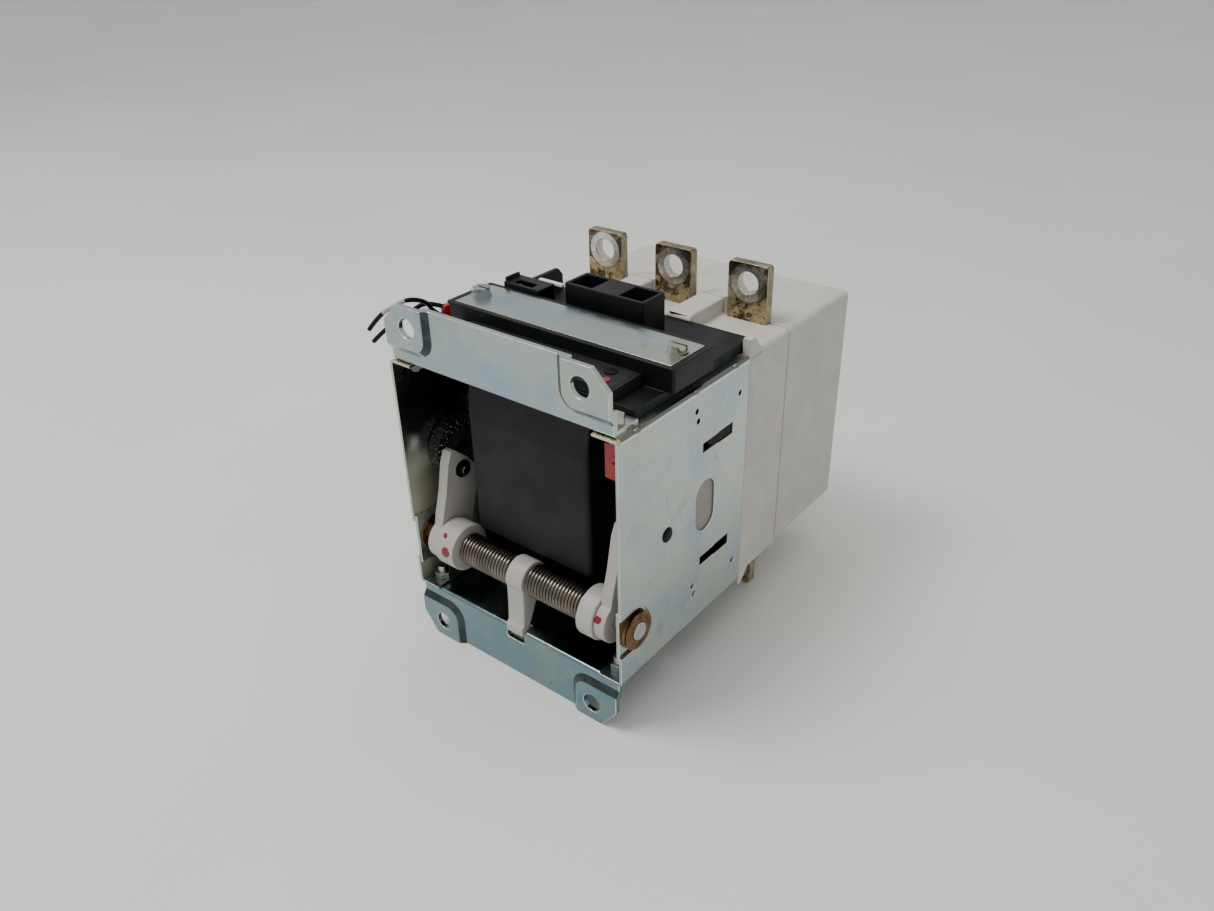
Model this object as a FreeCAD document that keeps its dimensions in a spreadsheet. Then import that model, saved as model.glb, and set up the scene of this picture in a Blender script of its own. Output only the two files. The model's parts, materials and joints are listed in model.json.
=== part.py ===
import FreeCAD, Part
import math
import os
import Sketcher
from FreeCAD import Placement, Rotation, Vector

# Three-pole power switching unit: an open zinc-plated drive frame in front, a two-part pale housing behind.
# X runs across the poles, +Y runs from the mounting ears back into the housing, +Z is up.
# Lengths along Y are counted from the mounting face of the ears, and every piece is then set forward by the
# same amount, so that the origin lies under the middle of the unit at the height of its lowest edges.

SIZES = {
    # overall levels, all heights counted from the lowest edge
    "set_forward": -113.5, "plate_low": 32.0, "plate_top": 175.7, "plate_deep": 111.7, "frame_wide": 150.0,
    "ear_face": 0.0, "blade_top": 209.3, "ear_top": 209.3,
    # clearances and the reach of a cutting tool past the face it leaves
    "running": 0.05, "seat": 0.02, "gap": 0.3, "past": 1.0,
    # side plates
    "plate_front": 2.0, "sheet": 1.5, "flange_wide": 15.0, "flange_deep": 106.0, "plate_bend": 2.0,
    "slot_width": 24.2, "window_wide": 17.3, "window_tall": 30.5, "window_back": 75.3, "window_high": 104.8,
    "small_hole": 1.6, "vent_long": 28.0, "vent_tall": 6.0, "vent_step": 0.5, "vent_back": 71.8,
    "upper_vent_high": 137.6, "lower_vent_high": 67.4, "rivet_back": 41.2, "rivet_high": 104.8,
    "rivet_bore": 3.0, "rivet_shank": 2.95, "rivet_long": 1.8, "rivet_head": 4.2, "rivet_dome": 1.0,
    # brackets
    "bracket_sheet": 3.0, "bracket_half": 72.5, "joggle": 3.0, "ear_inner": 44.5, "ear_tall": 23.8,
    "ear_hole": 5.5, "ear_hole_out": 56.0, "ear_hole_in": 11.5, "ear_cut_wide": 10.0, "upper_ear_cut": 10.0,
    "lower_ear_cut": 13.0, "ear_round": 8.0, "upper_leg": 18.0, "lower_leg": 40.0, "bend": 2.5,
    "notch_half": 6.2, "notch_deep": 8.0, "notch_tall": 8.0, "bolt_out": 66.0, "bolt_back": 12.0,
    "bolt_radius": 3.0, "bolt_clear": 0.2, "bolt_head": 5.0, "bolt_head_tall": 4.0, "nut_tall": 4.0,
    "bolt_past": 2.0, "stud_past": 4.0,
    # drive shaft line
    "shaft_back": 14.5, "shaft_high": 62.0, "shaft_radius": 5.0, "shaft_left": -76.0, "shaft_right": 78.2,
    "shaft_chamfer": 0.6, "bush_radius": 10.6, "bush_left": 75.5, "bush_right": 77.3, "bush_in": 71.0,
    "bush_groove": 9.9, "groove_inset": 1.3, "groove_wide": 0.6, "retainer_sheet": 1.9, "retainer_tall": 32.0,
    "retainer_deep": 28.0, "retainer_inset": 0.5, "collar_radius": 14.0, "collar_out": 57.0,
    "collar_in_left": 43.0, "collar_in_right": 46.5, "spring_out": 9.3, "spring_in": 7.1, "fork_half": 6.0,
    "strut_half": 4.0, "fork_radius": 10.2, "fork_bore": 5.35, "lever_out": 64.0, "lever_in": 57.3,
    "lever_hub": 12.5, "lever_edge": 1.2, "pin_back": 28.0, "pin_high": 103.0, "pin_radius": 3.0,
    "pin_out": 65.2, "pin_in": 55.0, "ring_radius": 5.2, "ring_thick": 1.0,
    # anti-bounce disc on the left plate
    "disc_back": 35.5, "disc_high": 111.5, "disc_radius": 17.5, "disc_out": 72.9, "disc_in": 65.4,
    "stud_radius": 2.5, "stud_head": 3.4, "stud_play": 0.2, "stud_cap": 0.8,
    # magnet
    "case_half": 41.0, "case_front": 21.0, "case_low": 74.0, "case_wall": 3.0, "case_corner": 3.0,
    "case_lean": 5.0, "case_break": 144.0, "magnet_high": 124.0, "coil_half": 33.0, "coil_corner": 8.0,
    "coil_front": 34.0, "coil_rear": 92.0, "bobbin_wall": 2.0, "bobbin_lip": 1.0, "bobbin_bore": 16.5,
    "bobbin_radius": 18.5, "core_radius": 15.9, "core_front": 61.5, "core_rear": 102.0, "yoke_thick": 8.0,
    "plunger_radius": 15.8, "plunger_front": 32.0, "plunger_rear": 55.5, "rod_radius": 4.0, "rod_bore": 4.6,
    # moving carrier
    "carrier_front": 126.0, "carrier_rear": 134.0, "carrier_half": 65.15, "carrier_low": 94.0,
    "carrier_high": 114.0, "arm_in": 64.15, "arm_out": 65.15, "arm_front": 22.0, "arm_low": 94.5,
    "arm_high": 107.8, "slot_low": 97.6, "slot_high": 106.3, "tower_half": 10.0, "tower_high": 136.0,
    "finger_low": 102.0, "finger_high": 107.5,
    # poles
    "pitch": 49.3, "blade_half": 12.5, "blade_front": 151.0, "blade_thick": 6.0, "blade_hole": 6.5,
    "blade_hole_in": 11.3, "blade_chamfer": 2.2, "pole_high": 104.0, "upper_run_low": 156.0,
    "upper_drop_front": 214.0, "upper_drop_low": 92.0, "lower_blade_top": 56.0, "blade_clear": 0.1,
    "tube_radius": 18.5, "tube_front": 166.0, "tube_rear": 206.0, "cap_radius": 19.5, "cap_thick": 4.0,
    "fixed_stud": 5.0, "stem_radius": 5.0, "stem_short": 14.0, "stem_room": 8.0, "link_front": 148.0,
    "link_thick": 3.0, "link_half": 8.0, "link_low": 40.0, "link_eye": 9.0,
    # housings
    "housing_front": 114.0, "housing_split": 155.1, "housing_rear": 224.4, "housing_low": 36.5,
    "housing_top": 176.6, "housing_wall": 3.0, "housing_round": 3.5, "foot_low": 28.2, "foot_front": 117.0,
    "foot_rear": 124.0, "cover_gap": 0.4, "rib_half": 7.9, "rib_top": 185.2, "rib_front": 121.0,
    "rib_rear": 200.0, "horn_top": 184.7, "horn_rear": 118.7, "horn_foot": 124.6, "rib_edge": 1.5, "nose_flat": 1.0,
    "nose_rise": 0.8, "nose_deep": 3.0,
    "housing_screw": 2.0, "screw_inset": 9.0, "back_head": 4.0, "back_head_tall": 2.6, "cheek_in": 66.2,
    "cheek_out": 73.5, "cheek_front": 60.0, "cheek_low": 80.0, "cheek_high": 130.0,
    # cover on top of the frame
    "cover_half": 69.5, "cover_front": 22.0, "cover_rear": 122.8, "cover_top": 181.6, "cover_corner": 1.5,
    "cover_skin": 2.5, "cover_wall": 3.5, "rim_half": 75.0, "rim_front": 45.0, "rim_rear": 79.5,
    "rim_top": 194.2, "rim_wall": 9.0, "rim_skin": 6.0, "strip_half": 71.0, "strip_front": 48.0,
    "strip_rear": 76.6, "strip_thick": 1.6, "screw_out": 65.0, "screw_back": 62.4, "screw_radius": 2.9,
    "screw_head": 4.8, "screw_head_tall": 3.4, "screw_slot": 0.7, "screw_slot_deep": 1.3,
    "washer_radius": 5.6, "washer_thick": 1.2, "panel_half": 56.5, "panel_front": 22.7, "panel_top": 187.4,
    "panel_screw_x": 43.5, "panel_screw_back": 38.0, "panel_screw_head": 3.4, "panel_screw_tall": 0.6,
    "marker_x": 46.8, "marker_back": 29.5, "marker_radius": 2.4, "marker_tall": 0.5,
    "socket_half": 26.5, "socket_front": 87.0, "socket_rear": 106.6, "socket_top": 202.0,
    "socket_corner": 1.2, "pocket_in": 9.0, "pocket_wall": 2.2, "pocket_deep": 14.0,
    "indicator_left": -65.0, "indicator_right": -39.0, "indicator_front": 79.7, "indicator_rear": 93.5,
    "indicator_top": 196.6, "indicator_wall": 2.0, "indicator_roof": 1.2, "indicator_corner": 0.8, "ridge_thick": 1.6,
    "ridge_inset": 1.5, "ridge_top": 198.8, "window_left": -59.0, "window_right": -45.5, "window_inset": 2.2,
    "window_deep": 5.4, "flag_left": -58.5, "flag_thick": 1.6, "flag_inset": 2.4, "flag_deep": 4.0,
    "flag_drop": 1.6, "post_left": -52.0, "post_right": -49.0, "post_deep": 3.0,
    "lug_left": -61.5, "lug_thick": 3.0, "lug_front": 94.0, "lug_top": 193.7, "lug_drop": 4.2, "lug_cut": 3.3,
    # small parts fixed to the frame
    "switch_in": 60.0, "switch_front": 26.0, "switch_rear": 58.0, "switch_low": 128.0, "switch_high": 170.0,
    "cap_in": 52.5, "cap_front": 20.5, "cap_low": 136.0, "cap_slope": 141.0, "cap_high": 160.0,
    "tag_left": -68.5, "tag_right": -65.0, "tag_front": 35.0, "tag_rear": 39.0, "tag_tall": 14.8,
    # leads
    "lead_radius": 1.25,
}

# Outlines seen along X, as pairs of the distance back from the ears' face and the height.
LEVER_OUTLINE = [(4.5, 56.0), (10.2, 80.0), (14.0, 92.0), (18.0, 110.0), (21.0, 116.5), (24.5, 116.0),
                 (33.0, 108.5), (39.8, 99.5), (41.0, 93.0), (27.0, 54.0), (8.0, 51.0)]
FORK_ARM = [(5.2, 62.0), (5.0, 48.0), (4.2, 36.0), (2.2, 34.0), (2.2, 29.0), (6.0, 29.0), (9.5, 34.0),
            (13.0, 42.0), (16.5, 52.0), (14.5, 62.0)]
FORK_STRUT = [(20.0, 53.0), (19.0, 58.0), (24.2, 57.0), (12.0, 33.0), (9.0, 30.5), (4.2, 31.5)]
# Small holes through each side plate, as a distance back from the ears' face and a height: three above the
# upper vents, and the same three again lower down.
HOLE_GROUP = [(105.5, 158), (65.5, 164), (67, 158)]
GROUPS_APART = 106.5
SMALL_HOLES = HOLE_GROUP + [(back, high - GROUPS_APART) for back, high in HOLE_GROUP]


class Size:
    """A length that keeps its number and the spreadsheet expression that gives it."""

    def __init__(self, value, text):
        self.value = float(value)
        self.text = text

    def __add__(self, other):
        other = as_size(other)
        return Size(self.value + other.value, f"({self.text} + {other.text})")

    def __sub__(self, other):
        other = as_size(other)
        return Size(self.value - other.value, f"({self.text} - {other.text})")

    def __mul__(self, factor):
        return Size(self.value * factor, f"({self.text} * {factor})")

    def __neg__(self):
        return Size(-self.value, f"(0 - {self.text})")

    def __radd__(self, other):
        return as_size(other) + self

    def __rsub__(self, other):
        return as_size(other) - self


def as_size(value):
    return value if isinstance(value, Size) else Size(value, repr(float(value)))


def size(name):
    return Size(SIZES[name], f"Sizes.{name}")


doc = FreeCAD.newDocument("switching_unit")
sheet = doc.addObject("Spreadsheet::Sheet", "Sizes")
for row, (alias, number) in enumerate(SIZES.items(), start=1):
    sheet.set(f"A{row}", alias)
    sheet.set(f"B{row}", str(number))
    sheet.setAlias(f"B{row}", alias)
doc.recompute()

nodes = {}


def node(name, shape):
    """Name a finished sub-part; the name is its file's name too."""
    shape.Label = name
    nodes[name] = shape
    return shape


def bind(target, prop, length):
    target.setExpression(prop, as_size(length).text)


def place(target, x, y, z):
    for letter, length in zip("xyz", (x, as_size(y) + size("set_forward"), z)):
        bind(target, f"Placement.Base.{letter}", length)


def box(x, y, z):
    """A block given by its low and high limits along each axis."""
    solid = doc.addObject("Part::Box", "block")
    for prop, (low, high) in (("Length", x), ("Width", y), ("Height", z)):
        bind(solid, prop, as_size(high) - low)
    place(solid, x[0], y[0], z[0])
    return solid


def mirrored_box(side, x, y, z):
    """A block on the right for side 1, its mirror image on the left for side -1."""
    low, high = x
    return box((low, high) if side > 0 else (-as_size(high), -as_size(low)), y, z)


TURNS = {"X": Rotation(Vector(0, 1, 0), 90), "Y": Rotation(Vector(1, 0, 0), -90), "Z": Rotation()}


def rod(axis, at, radius, span):
    """A cylinder along an axis; at gives the other two coordinates in X, Y, Z order."""
    solid = doc.addObject("Part::Cylinder", "round")
    solid.Placement = Placement(Vector(), TURNS[axis])
    bind(solid, "Radius", radius)
    bind(solid, "Height", as_size(span[1]) - span[0])
    where = list(at)
    where.insert("XYZ".index(axis), span[0])
    place(solid, *where)
    return solid


def mirrored_rod(side, at, radius, span):
    """A cylinder along X on the right for side 1, its mirror image on the left for side -1."""
    low, high = span
    return rod("X", at, radius, (low, high) if side > 0 else (-as_size(high), -as_size(low)))


def hexagon(at, radius, span):
    """An upright hexagonal head or nut; radius reaches its corners."""
    solid = doc.addObject("Part::Prism", "hexagon")
    solid.Polygon = 6
    bind(solid, "Circumradius", radius)
    bind(solid, "Height", as_size(span[1]) - span[0])
    place(solid, at[0], at[1], span[0])
    return solid


def fuse(*shapes):
    joined = doc.addObject("Part::MultiFuse", "joined")
    joined.Shapes = list(shapes)
    joined.Refine = True
    return joined


def group(*shapes):
    """Separate solids that share one node."""
    together = doc.addObject("Part::Compound", "group")
    together.Links = list(shapes)
    return together


def cut(base, *tools):
    result = doc.addObject("Part::Cut", "cut")
    result.Base = base
    result.Tool = tools[0] if len(tools) == 1 else fuse(*tools)
    return result


SKETCH_PLANES = {
    "X": Rotation(Vector(0, 1, 0), Vector(0, 0, 1), Vector(1, 0, 0), "ZXY"),
    "Y": Rotation(Vector(0, 0, 1), Vector(1, 0, 0), Vector(0, 1, 0), "ZXY"),
    "Z": Rotation(),
}


def prism(axis, points, span):
    """An outline of straight edges pushed along an axis; points are pairs of the other two coordinates."""
    sketch = doc.addObject("Sketcher::SketchObject", "outline")
    sketch.Placement = Placement(Vector(), SKETCH_PLANES[axis])
    place(sketch, *[span[0] if letter == axis else 0.0 for letter in "XYZ"])
    corners = [(as_size(a), as_size(b)) for a, b in points]
    if axis == "Y":
        corners = [(b, a) for a, b in corners]
    for index, (u, v) in enumerate(corners):
        after = corners[(index + 1) % len(corners)]
        start, end = Vector(u.value, v.value, 0), Vector(after[0].value, after[1].value, 0)
        sketch.addGeometry(Part.LineSegment(start, end), False)
    for index in range(len(corners)):
        sketch.addConstraint(Sketcher.Constraint("Coincident", index, 2, (index + 1) % len(corners), 1))
    for index, (u, v) in enumerate(corners):
        for kind, length in (("DistanceX", u), ("DistanceY", v)):
            number = sketch.addConstraint(Sketcher.Constraint(kind, -1, 1, index, 1, length.value))
            sketch.setExpression(f"Constraints[{number}]", length.text)
    solid = doc.addObject("Part::Extrusion", "pushed")
    solid.Base = sketch
    solid.DirMode = "Normal"
    solid.Solid = True
    bind(solid, "LengthFwd", as_size(span[1]) - span[0])
    return solid


def rounded(base, radius, chosen, kind="Part::Fillet"):
    """Fillet or chamfer the edges that the test chooses."""
    doc.recompute()
    result = doc.addObject(kind, "eased")
    result.Base = base
    edges = enumerate(base.Shape.Edges, start=1)
    result.Edges = [(index, radius, radius) for index, edge in edges if chosen(edge)]
    return result


def along(axis, test=None):
    """Choose straight edges along an axis, and of those the ones whose middle passes the test."""
    direction = {"X": Vector(1, 0, 0), "Y": Vector(0, 1, 0), "Z": Vector(0, 0, 1)}[axis]

    def chosen(edge):
        if not isinstance(edge.Curve, (Part.Line, Part.LineSegment)):
            return False
        straight = abs(edge.tangentAt(edge.FirstParameter).dot(direction)) > 0.999
        return straight and (test is None or test(edge.CenterOfMass))

    return chosen


SIDES = (("left", -1), ("right", 1))
past = size("past")
half_wide = size("frame_wide") * 0.5
edge_out = SIZES["frame_wide"] * 0.5 - SIZES["past"]
shaft_at = (size("shaft_back"), size("shaft_high"))
pin_at = (size("pin_back"), size("pin_high"))
pole_places = [size("pitch") * step for step in (-1, 0, 1)]


def beyond(span, extra=1):
    """A span stretched past both its ends, for a cutting tool."""
    return span[0] - past * extra, span[1] + past * extra


def side_plate(side):
    """A sheet web with inward flanges along its top and bottom edges, pierced for the bush and vents."""
    front, rear = size("plate_front"), size("plate_front") + size("plate_deep")
    low, top, sheet_thick = size("plate_low"), size("plate_top"), size("sheet")
    web_span = (half_wide - sheet_thick, half_wide)
    web = mirrored_box(side, web_span, (front, rear), (low, top))
    flange_span = (half_wide - size("flange_wide"), half_wide)
    flange_back = (front, front + size("flange_deep"))
    upper = mirrored_box(side, flange_span, flange_back, (top - sheet_thick, top))
    lower = mirrored_box(side, flange_span, flange_back, (low, low + sheet_thick))
    bent = rounded(fuse(web, upper, lower), SIZES["plate_bend"], along("Y", lambda c: abs(c.x) > edge_out))
    through = beyond(web_span)
    bush_slot = mirrored_box(side, through, (front - past, size("shaft_back")),
                             (size("shaft_high") - size("slot_width") * 0.5,
                              size("shaft_high") + size("slot_width") * 0.5))
    bush_round = mirrored_rod(side, shaft_at, size("slot_width") * 0.5, through)
    window_half, straight = size("window_wide") * 0.5, (size("window_tall") - size("window_wide")) * 0.5
    window = [mirrored_box(side, through, (size("window_back") - window_half, size("window_back") + window_half),
                           (size("window_high") - straight, size("window_high") + straight))]
    for end in (-straight, straight):
        window.append(mirrored_rod(side, (size("window_back"), size("window_high") + end), window_half, through))
    vents = []
    start, middle = size("vent_back"), size("vent_back") + size("vent_long") * 0.5
    for name in ("upper_vent_high", "lower_vent_high"):
        vent_low, vent_high = size(name), size(name) + size("vent_tall")
        vents.append(mirrored_box(side, through, (start, middle), (vent_low, vent_high - size("vent_step"))))
        vents.append(mirrored_box(side, through, (middle, start + size("vent_long")),
                                  (vent_low - size("vent_step"), vent_high)))
    small = [mirrored_rod(side, place_at, size("small_hole"), through) for place_at in SMALL_HOLES]
    rivet_hole = mirrored_rod(side, (size("rivet_back"), size("rivet_high")), size("rivet_bore"), through)
    bolt_at = (size("bolt_out") * side, size("bolt_back"))
    bolt_holes = [rod("Z", bolt_at, size("bolt_radius") + size("bolt_clear"),
                      (level - sheet_thick - past, level + sheet_thick + past)) for level in (low, top)]
    return cut(bent, bush_slot, bush_round, *window, *vents, *small, rivet_hole, *bolt_holes)


def bracket(upper):
    """An angle: a leg on the side plates' flanges, a face across the front, two ears set forward."""
    sheet_thick, out, joggle = size("bracket_sheet"), size("bracket_half"), size("joggle")
    back, front = size("ear_face") + joggle, size("ear_face")
    if upper:
        leg = (size("plate_top"), size("plate_top") + sheet_thick)
        edge, toward, cut_tall = size("ear_top"), -1, size("upper_ear_cut")
        face = (leg[0], edge)
        leg_deep = size("upper_leg")
    else:
        leg = (size("plate_low") - sheet_thick, size("plate_low"))
        edge, toward, cut_tall = as_size(0), 1, size("lower_ear_cut")
        face = (edge, leg[1])
        leg_deep = size("lower_leg")
    ear_from = edge + size("ear_tall") * toward
    limits = (ear_from, edge) if upper else (edge, ear_from)
    lip_z = (face[0], ear_from + joggle) if upper else (ear_from - joggle, face[1])
    inner = size("ear_inner") + joggle
    leg_box = box((-out, out), (back, back + leg_deep), leg)
    face_box = box((-inner, inner), (back, back + sheet_thick), face)
    lip = box((-out, out), (back, back + sheet_thick), lip_z)
    sheet_shape = rounded(fuse(leg_box, face_box, lip), SIZES["bend"], along("X", bend_edge(upper)))
    ears, holes = [], []
    for _, side in SIDES:
        chamfer_in = (out - size("ear_cut_wide")) * side
        outline = [(size("ear_inner") * side, ear_from), (size("ear_inner") * side, edge), (chamfer_in, edge),
                   (out * side, edge + cut_tall * toward), (out * side, ear_from)]
        ear = prism("Y", outline, (front, back))
        ears.append(rounded(ear, SIZES["ear_round"], along("Y", ear_corner(side, limits, upper))))
        high = edge + size("ear_hole_in") * toward
        holes.append(rod("Y", (size("ear_hole_out") * side, high), size("ear_hole"),
                         beyond((front, back + sheet_thick))))
        holes.append(rod("Z", (size("bolt_out") * side, size("bolt_back")),
                         size("bolt_radius") + size("bolt_clear"), beyond(leg)))
    if not upper:
        notch = size("notch_half")
        holes.append(box((-notch, notch), (back - past, back + size("notch_deep")),
                         (leg[1] - size("notch_tall"), leg[1] + past)))
    return cut(fuse(sheet_shape, *ears), *holes)


def bend_edge(upper):
    """The outer edge of the fold between a bracket's leg and its face."""
    level = SIZES["plate_top"] if upper else SIZES["plate_low"]
    front = SIZES["ear_face"] + SIZES["joggle"] + SIZES["set_forward"]
    return lambda c: abs(c.z - level) < 0.1 and abs(c.y - front) < 0.1


def ear_corner(side, limits, upper):
    """The corner of an ear that points at the middle of its bracket."""
    level = limits[0].value if upper else limits[1].value
    return lambda c: abs(c.x - side * SIZES["ear_inner"]) < 0.1 and abs(c.z - level) < 0.1


def bracket_bolts():
    """Four hexagon bolts with their nuts, which clamp the brackets to the flanges."""
    solids = []
    sheet_thick, flange = size("bracket_sheet"), size("sheet")
    head, tall, nut = size("bolt_head"), size("bolt_head_tall"), size("nut_tall")
    for _, side in SIDES:
        at = (size("bolt_out") * side, size("bolt_back"))
        seat, under = size("plate_top") + sheet_thick, size("plate_top") - flange
        upper_nut = (under - nut, under)
        solids.append(hexagon(at, head, (seat, seat + tall)))
        solids.append(rod("Z", at, size("bolt_radius"), (upper_nut[0] - size("bolt_past"), seat)))
        solids.append(cut(hexagon(at, head, upper_nut), rod("Z", at, size("bolt_radius"), beyond(upper_nut))))
        base, over = size("plate_low") - sheet_thick, size("plate_low") + flange
        lower_nut = (over, over + nut)
        solids.append(hexagon(at, head, (base - tall, base)))
        solids.append(rod("Z", at, size("bolt_radius"), (base, lower_nut[1] + size("stud_past"))))
        solids.append(cut(hexagon(at, head, lower_nut), rod("Z", at, size("bolt_radius"), beyond(lower_nut))))
    return group(*solids)


node("left_side_plate", side_plate(-1))
node("right_side_plate", side_plate(1))
node("upper_bracket", bracket(True))
node("lower_bracket", bracket(False))
node("bracket_bolts", bracket_bolts())


def shaft_bush(side, outer):
    """A flanged bronze bush with one turned groove, open through for the shaft."""
    span = (size("bush_in"), size(outer))
    body = mirrored_rod(side, shaft_at, size("bush_radius"), span)
    groove_span = (span[1] - size("groove_inset"), span[1] - size("groove_inset") + size("groove_wide"))
    ring = cut(mirrored_rod(side, shaft_at, size("bush_radius") + past, groove_span),
               mirrored_rod(side, shaft_at, size("bush_groove"), beyond(groove_span)))
    bore = mirrored_rod(side, shaft_at, size("shaft_radius") + size("running"), beyond(span))
    return cut(body, ring, bore)


def bearing_retainer(side):
    """A flat plate inside the side plate that closes the open slot in front of the bush."""
    span = (half_wide - size("sheet") - size("retainer_sheet"), half_wide - size("sheet"))
    front, tall = size("plate_front") + size("retainer_inset"), size("retainer_tall") * 0.5
    plate = mirrored_box(side, span, (front, front + size("retainer_deep")),
                         (size("shaft_high") - tall, size("shaft_high") + tall))
    return cut(plate, mirrored_rod(side, shaft_at, size("bush_radius") + size("seat"), beyond(span)))


def drive_lever(side):
    """A moulded arm that stands up from its hub on the shaft and carries the link pin."""
    span = (size("lever_in"), size("lever_out"))
    arm_span = span if side > 0 else (-span[1], -span[0])
    arm = rounded(prism("X", LEVER_OUTLINE, arm_span), SIZES["lever_edge"], along("X"))
    hub = mirrored_rod(side, shaft_at, size("lever_hub"), span)
    bore = mirrored_rod(side, shaft_at, size("shaft_radius") + size("seat"), beyond(span))
    pin_hole = mirrored_rod(side, pin_at, size("pin_radius") + size("seat"), beyond(span))
    return cut(fuse(arm, hub), bore, pin_hole)


def spring_collar(side, inner):
    """The ring that winds up the outer end of its spring."""
    span = (size(inner), size("collar_out"))
    ring = mirrored_rod(side, shaft_at, size("collar_radius"), span)
    return cut(ring, mirrored_rod(side, shaft_at, size("shaft_radius") + size("seat"), beyond(span)))


def torsion_spring(side, inner):
    """The close-wound spring as the sleeve that its coils fill."""
    span = (size("fork_half") + size("gap"), size(inner) - size("gap"))
    sleeve = mirrored_rod(side, shaft_at, size("spring_out"), span)
    return cut(sleeve, mirrored_rod(side, shaft_at, size("spring_in"), beyond(span)))


def spring_fork():
    """The fixed anchor between the springs: a ring on the shaft with an arm and a strut down to its foot."""
    span = (-size("fork_half"), size("fork_half"))
    ring = rod("X", shaft_at, size("fork_radius"), span)
    arm = prism("X", FORK_ARM, span)
    strut = prism("X", FORK_STRUT, (-size("strut_half"), size("strut_half")))
    return cut(fuse(ring, arm, strut), rod("X", shaft_at, size("fork_bore"), beyond(span)))


def link_pins():
    """The two pins that join the levers to the carrier's arms."""
    return group(*[mirrored_rod(side, pin_at, size("pin_radius"), (size("pin_in"), size("pin_out")))
                   for _, side in SIDES])


def retaining_rings():
    """Snap rings on the pins, against the inner faces of the levers."""
    rings = []
    span = (size("lever_in") - size("ring_thick"), size("lever_in"))
    for _, side in SIDES:
        disc = mirrored_rod(side, pin_at, size("ring_radius"), span)
        rings.append(cut(disc, mirrored_rod(side, pin_at, size("pin_radius"), beyond(span))))
    return group(*rings)


def drive_shaft():
    """The plain shaft, chamfered at the end that shows."""
    bar = rod("X", shaft_at, size("shaft_radius"), (size("shaft_left"), size("shaft_right")))
    return rounded(bar, SIZES["shaft_chamfer"],
                   lambda edge: edge.CenterOfMass.x > SIZES["shaft_right"] - SIZES["past"], "Part::Chamfer")


for side_name, side in SIDES:
    collar_in = f"collar_in_{side_name}"
    node(f"shaft_bush_{side_name}", shaft_bush(side, f"bush_{side_name}"))
    node(f"bearing_retainer_{side_name}", bearing_retainer(side))
    node(f"drive_lever_{side_name}", drive_lever(side))
    node(f"spring_collar_{side_name}", spring_collar(side, collar_in))
    node(f"torsion_spring_{side_name}", torsion_spring(side, collar_in))
node("drive_shaft", drive_shaft())
node("spring_fork", spring_fork())
node("link_pins", link_pins())
node("retaining_rings", retaining_rings())


def anti_bounce_disc():
    """The thick disc that spins behind the left plate, bored for its stud."""
    disc_at = (size("disc_back"), size("disc_high"))
    span = (size("disc_in"), size("disc_out"))
    bore = mirrored_rod(-1, disc_at, size("stud_radius") + size("running"), beyond(span))
    return cut(mirrored_rod(-1, disc_at, size("disc_radius"), span), bore)


def disc_stud():
    """The stud that carries the disc: a washer against the plate and a head on the disc's inner side."""
    disc_at = (size("disc_back"), size("disc_high"))
    plate_face = half_wide - size("sheet")
    head_out = size("disc_in") - size("stud_play")
    shank = mirrored_rod(-1, disc_at, size("stud_radius"), (head_out, plate_face))
    head = mirrored_rod(-1, disc_at, size("stud_head"), (head_out - size("stud_cap"), head_out))
    washer = mirrored_rod(-1, disc_at, size("stud_head"), (size("disc_out") + size("stud_play"), plate_face))
    return fuse(shank, head, washer)


node("anti_bounce_disc", anti_bounce_disc())
node("disc_stud", disc_stud())


def plate_rivets():
    """Plastic rivets, one through each side plate: a domed head outside, a shank inside."""
    at = (size("rivet_back"), size("rivet_high"))
    rivets = []
    for _, side in SIDES:
        head = mirrored_rod(side, at, size("rivet_head"), (half_wide, half_wide + size("rivet_dome")))
        shank = mirrored_rod(side, at, size("rivet_shank"), (half_wide - size("rivet_long"), half_wide))
        rivets.append(fuse(head, shank))
    return group(*rivets)


node("plate_rivets", plate_rivets())


def coil_case():
    """The black case round the magnet: a hollow box whose front leans back above a break line."""
    half, front, low = size("case_half"), size("case_front"), size("case_low")
    top, rear, lean = size("plate_top"), size("housing_front"), size("case_lean")
    wall, crease = size("case_wall"), size("case_break")
    profile = [(front, low), (front, crease), (front + lean, top), (rear, top), (rear, low)]
    inside = [(front + wall, low + wall), (front + wall, crease), (front + wall + lean, top - wall),
              (rear + past, top - wall), (rear + past, low + wall)]
    shell = rounded(prism("X", profile, (-half, half)), SIZES["case_corner"], along("Z"))
    return cut(shell, prism("X", inside, (-half + wall, half - wall)))


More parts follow.
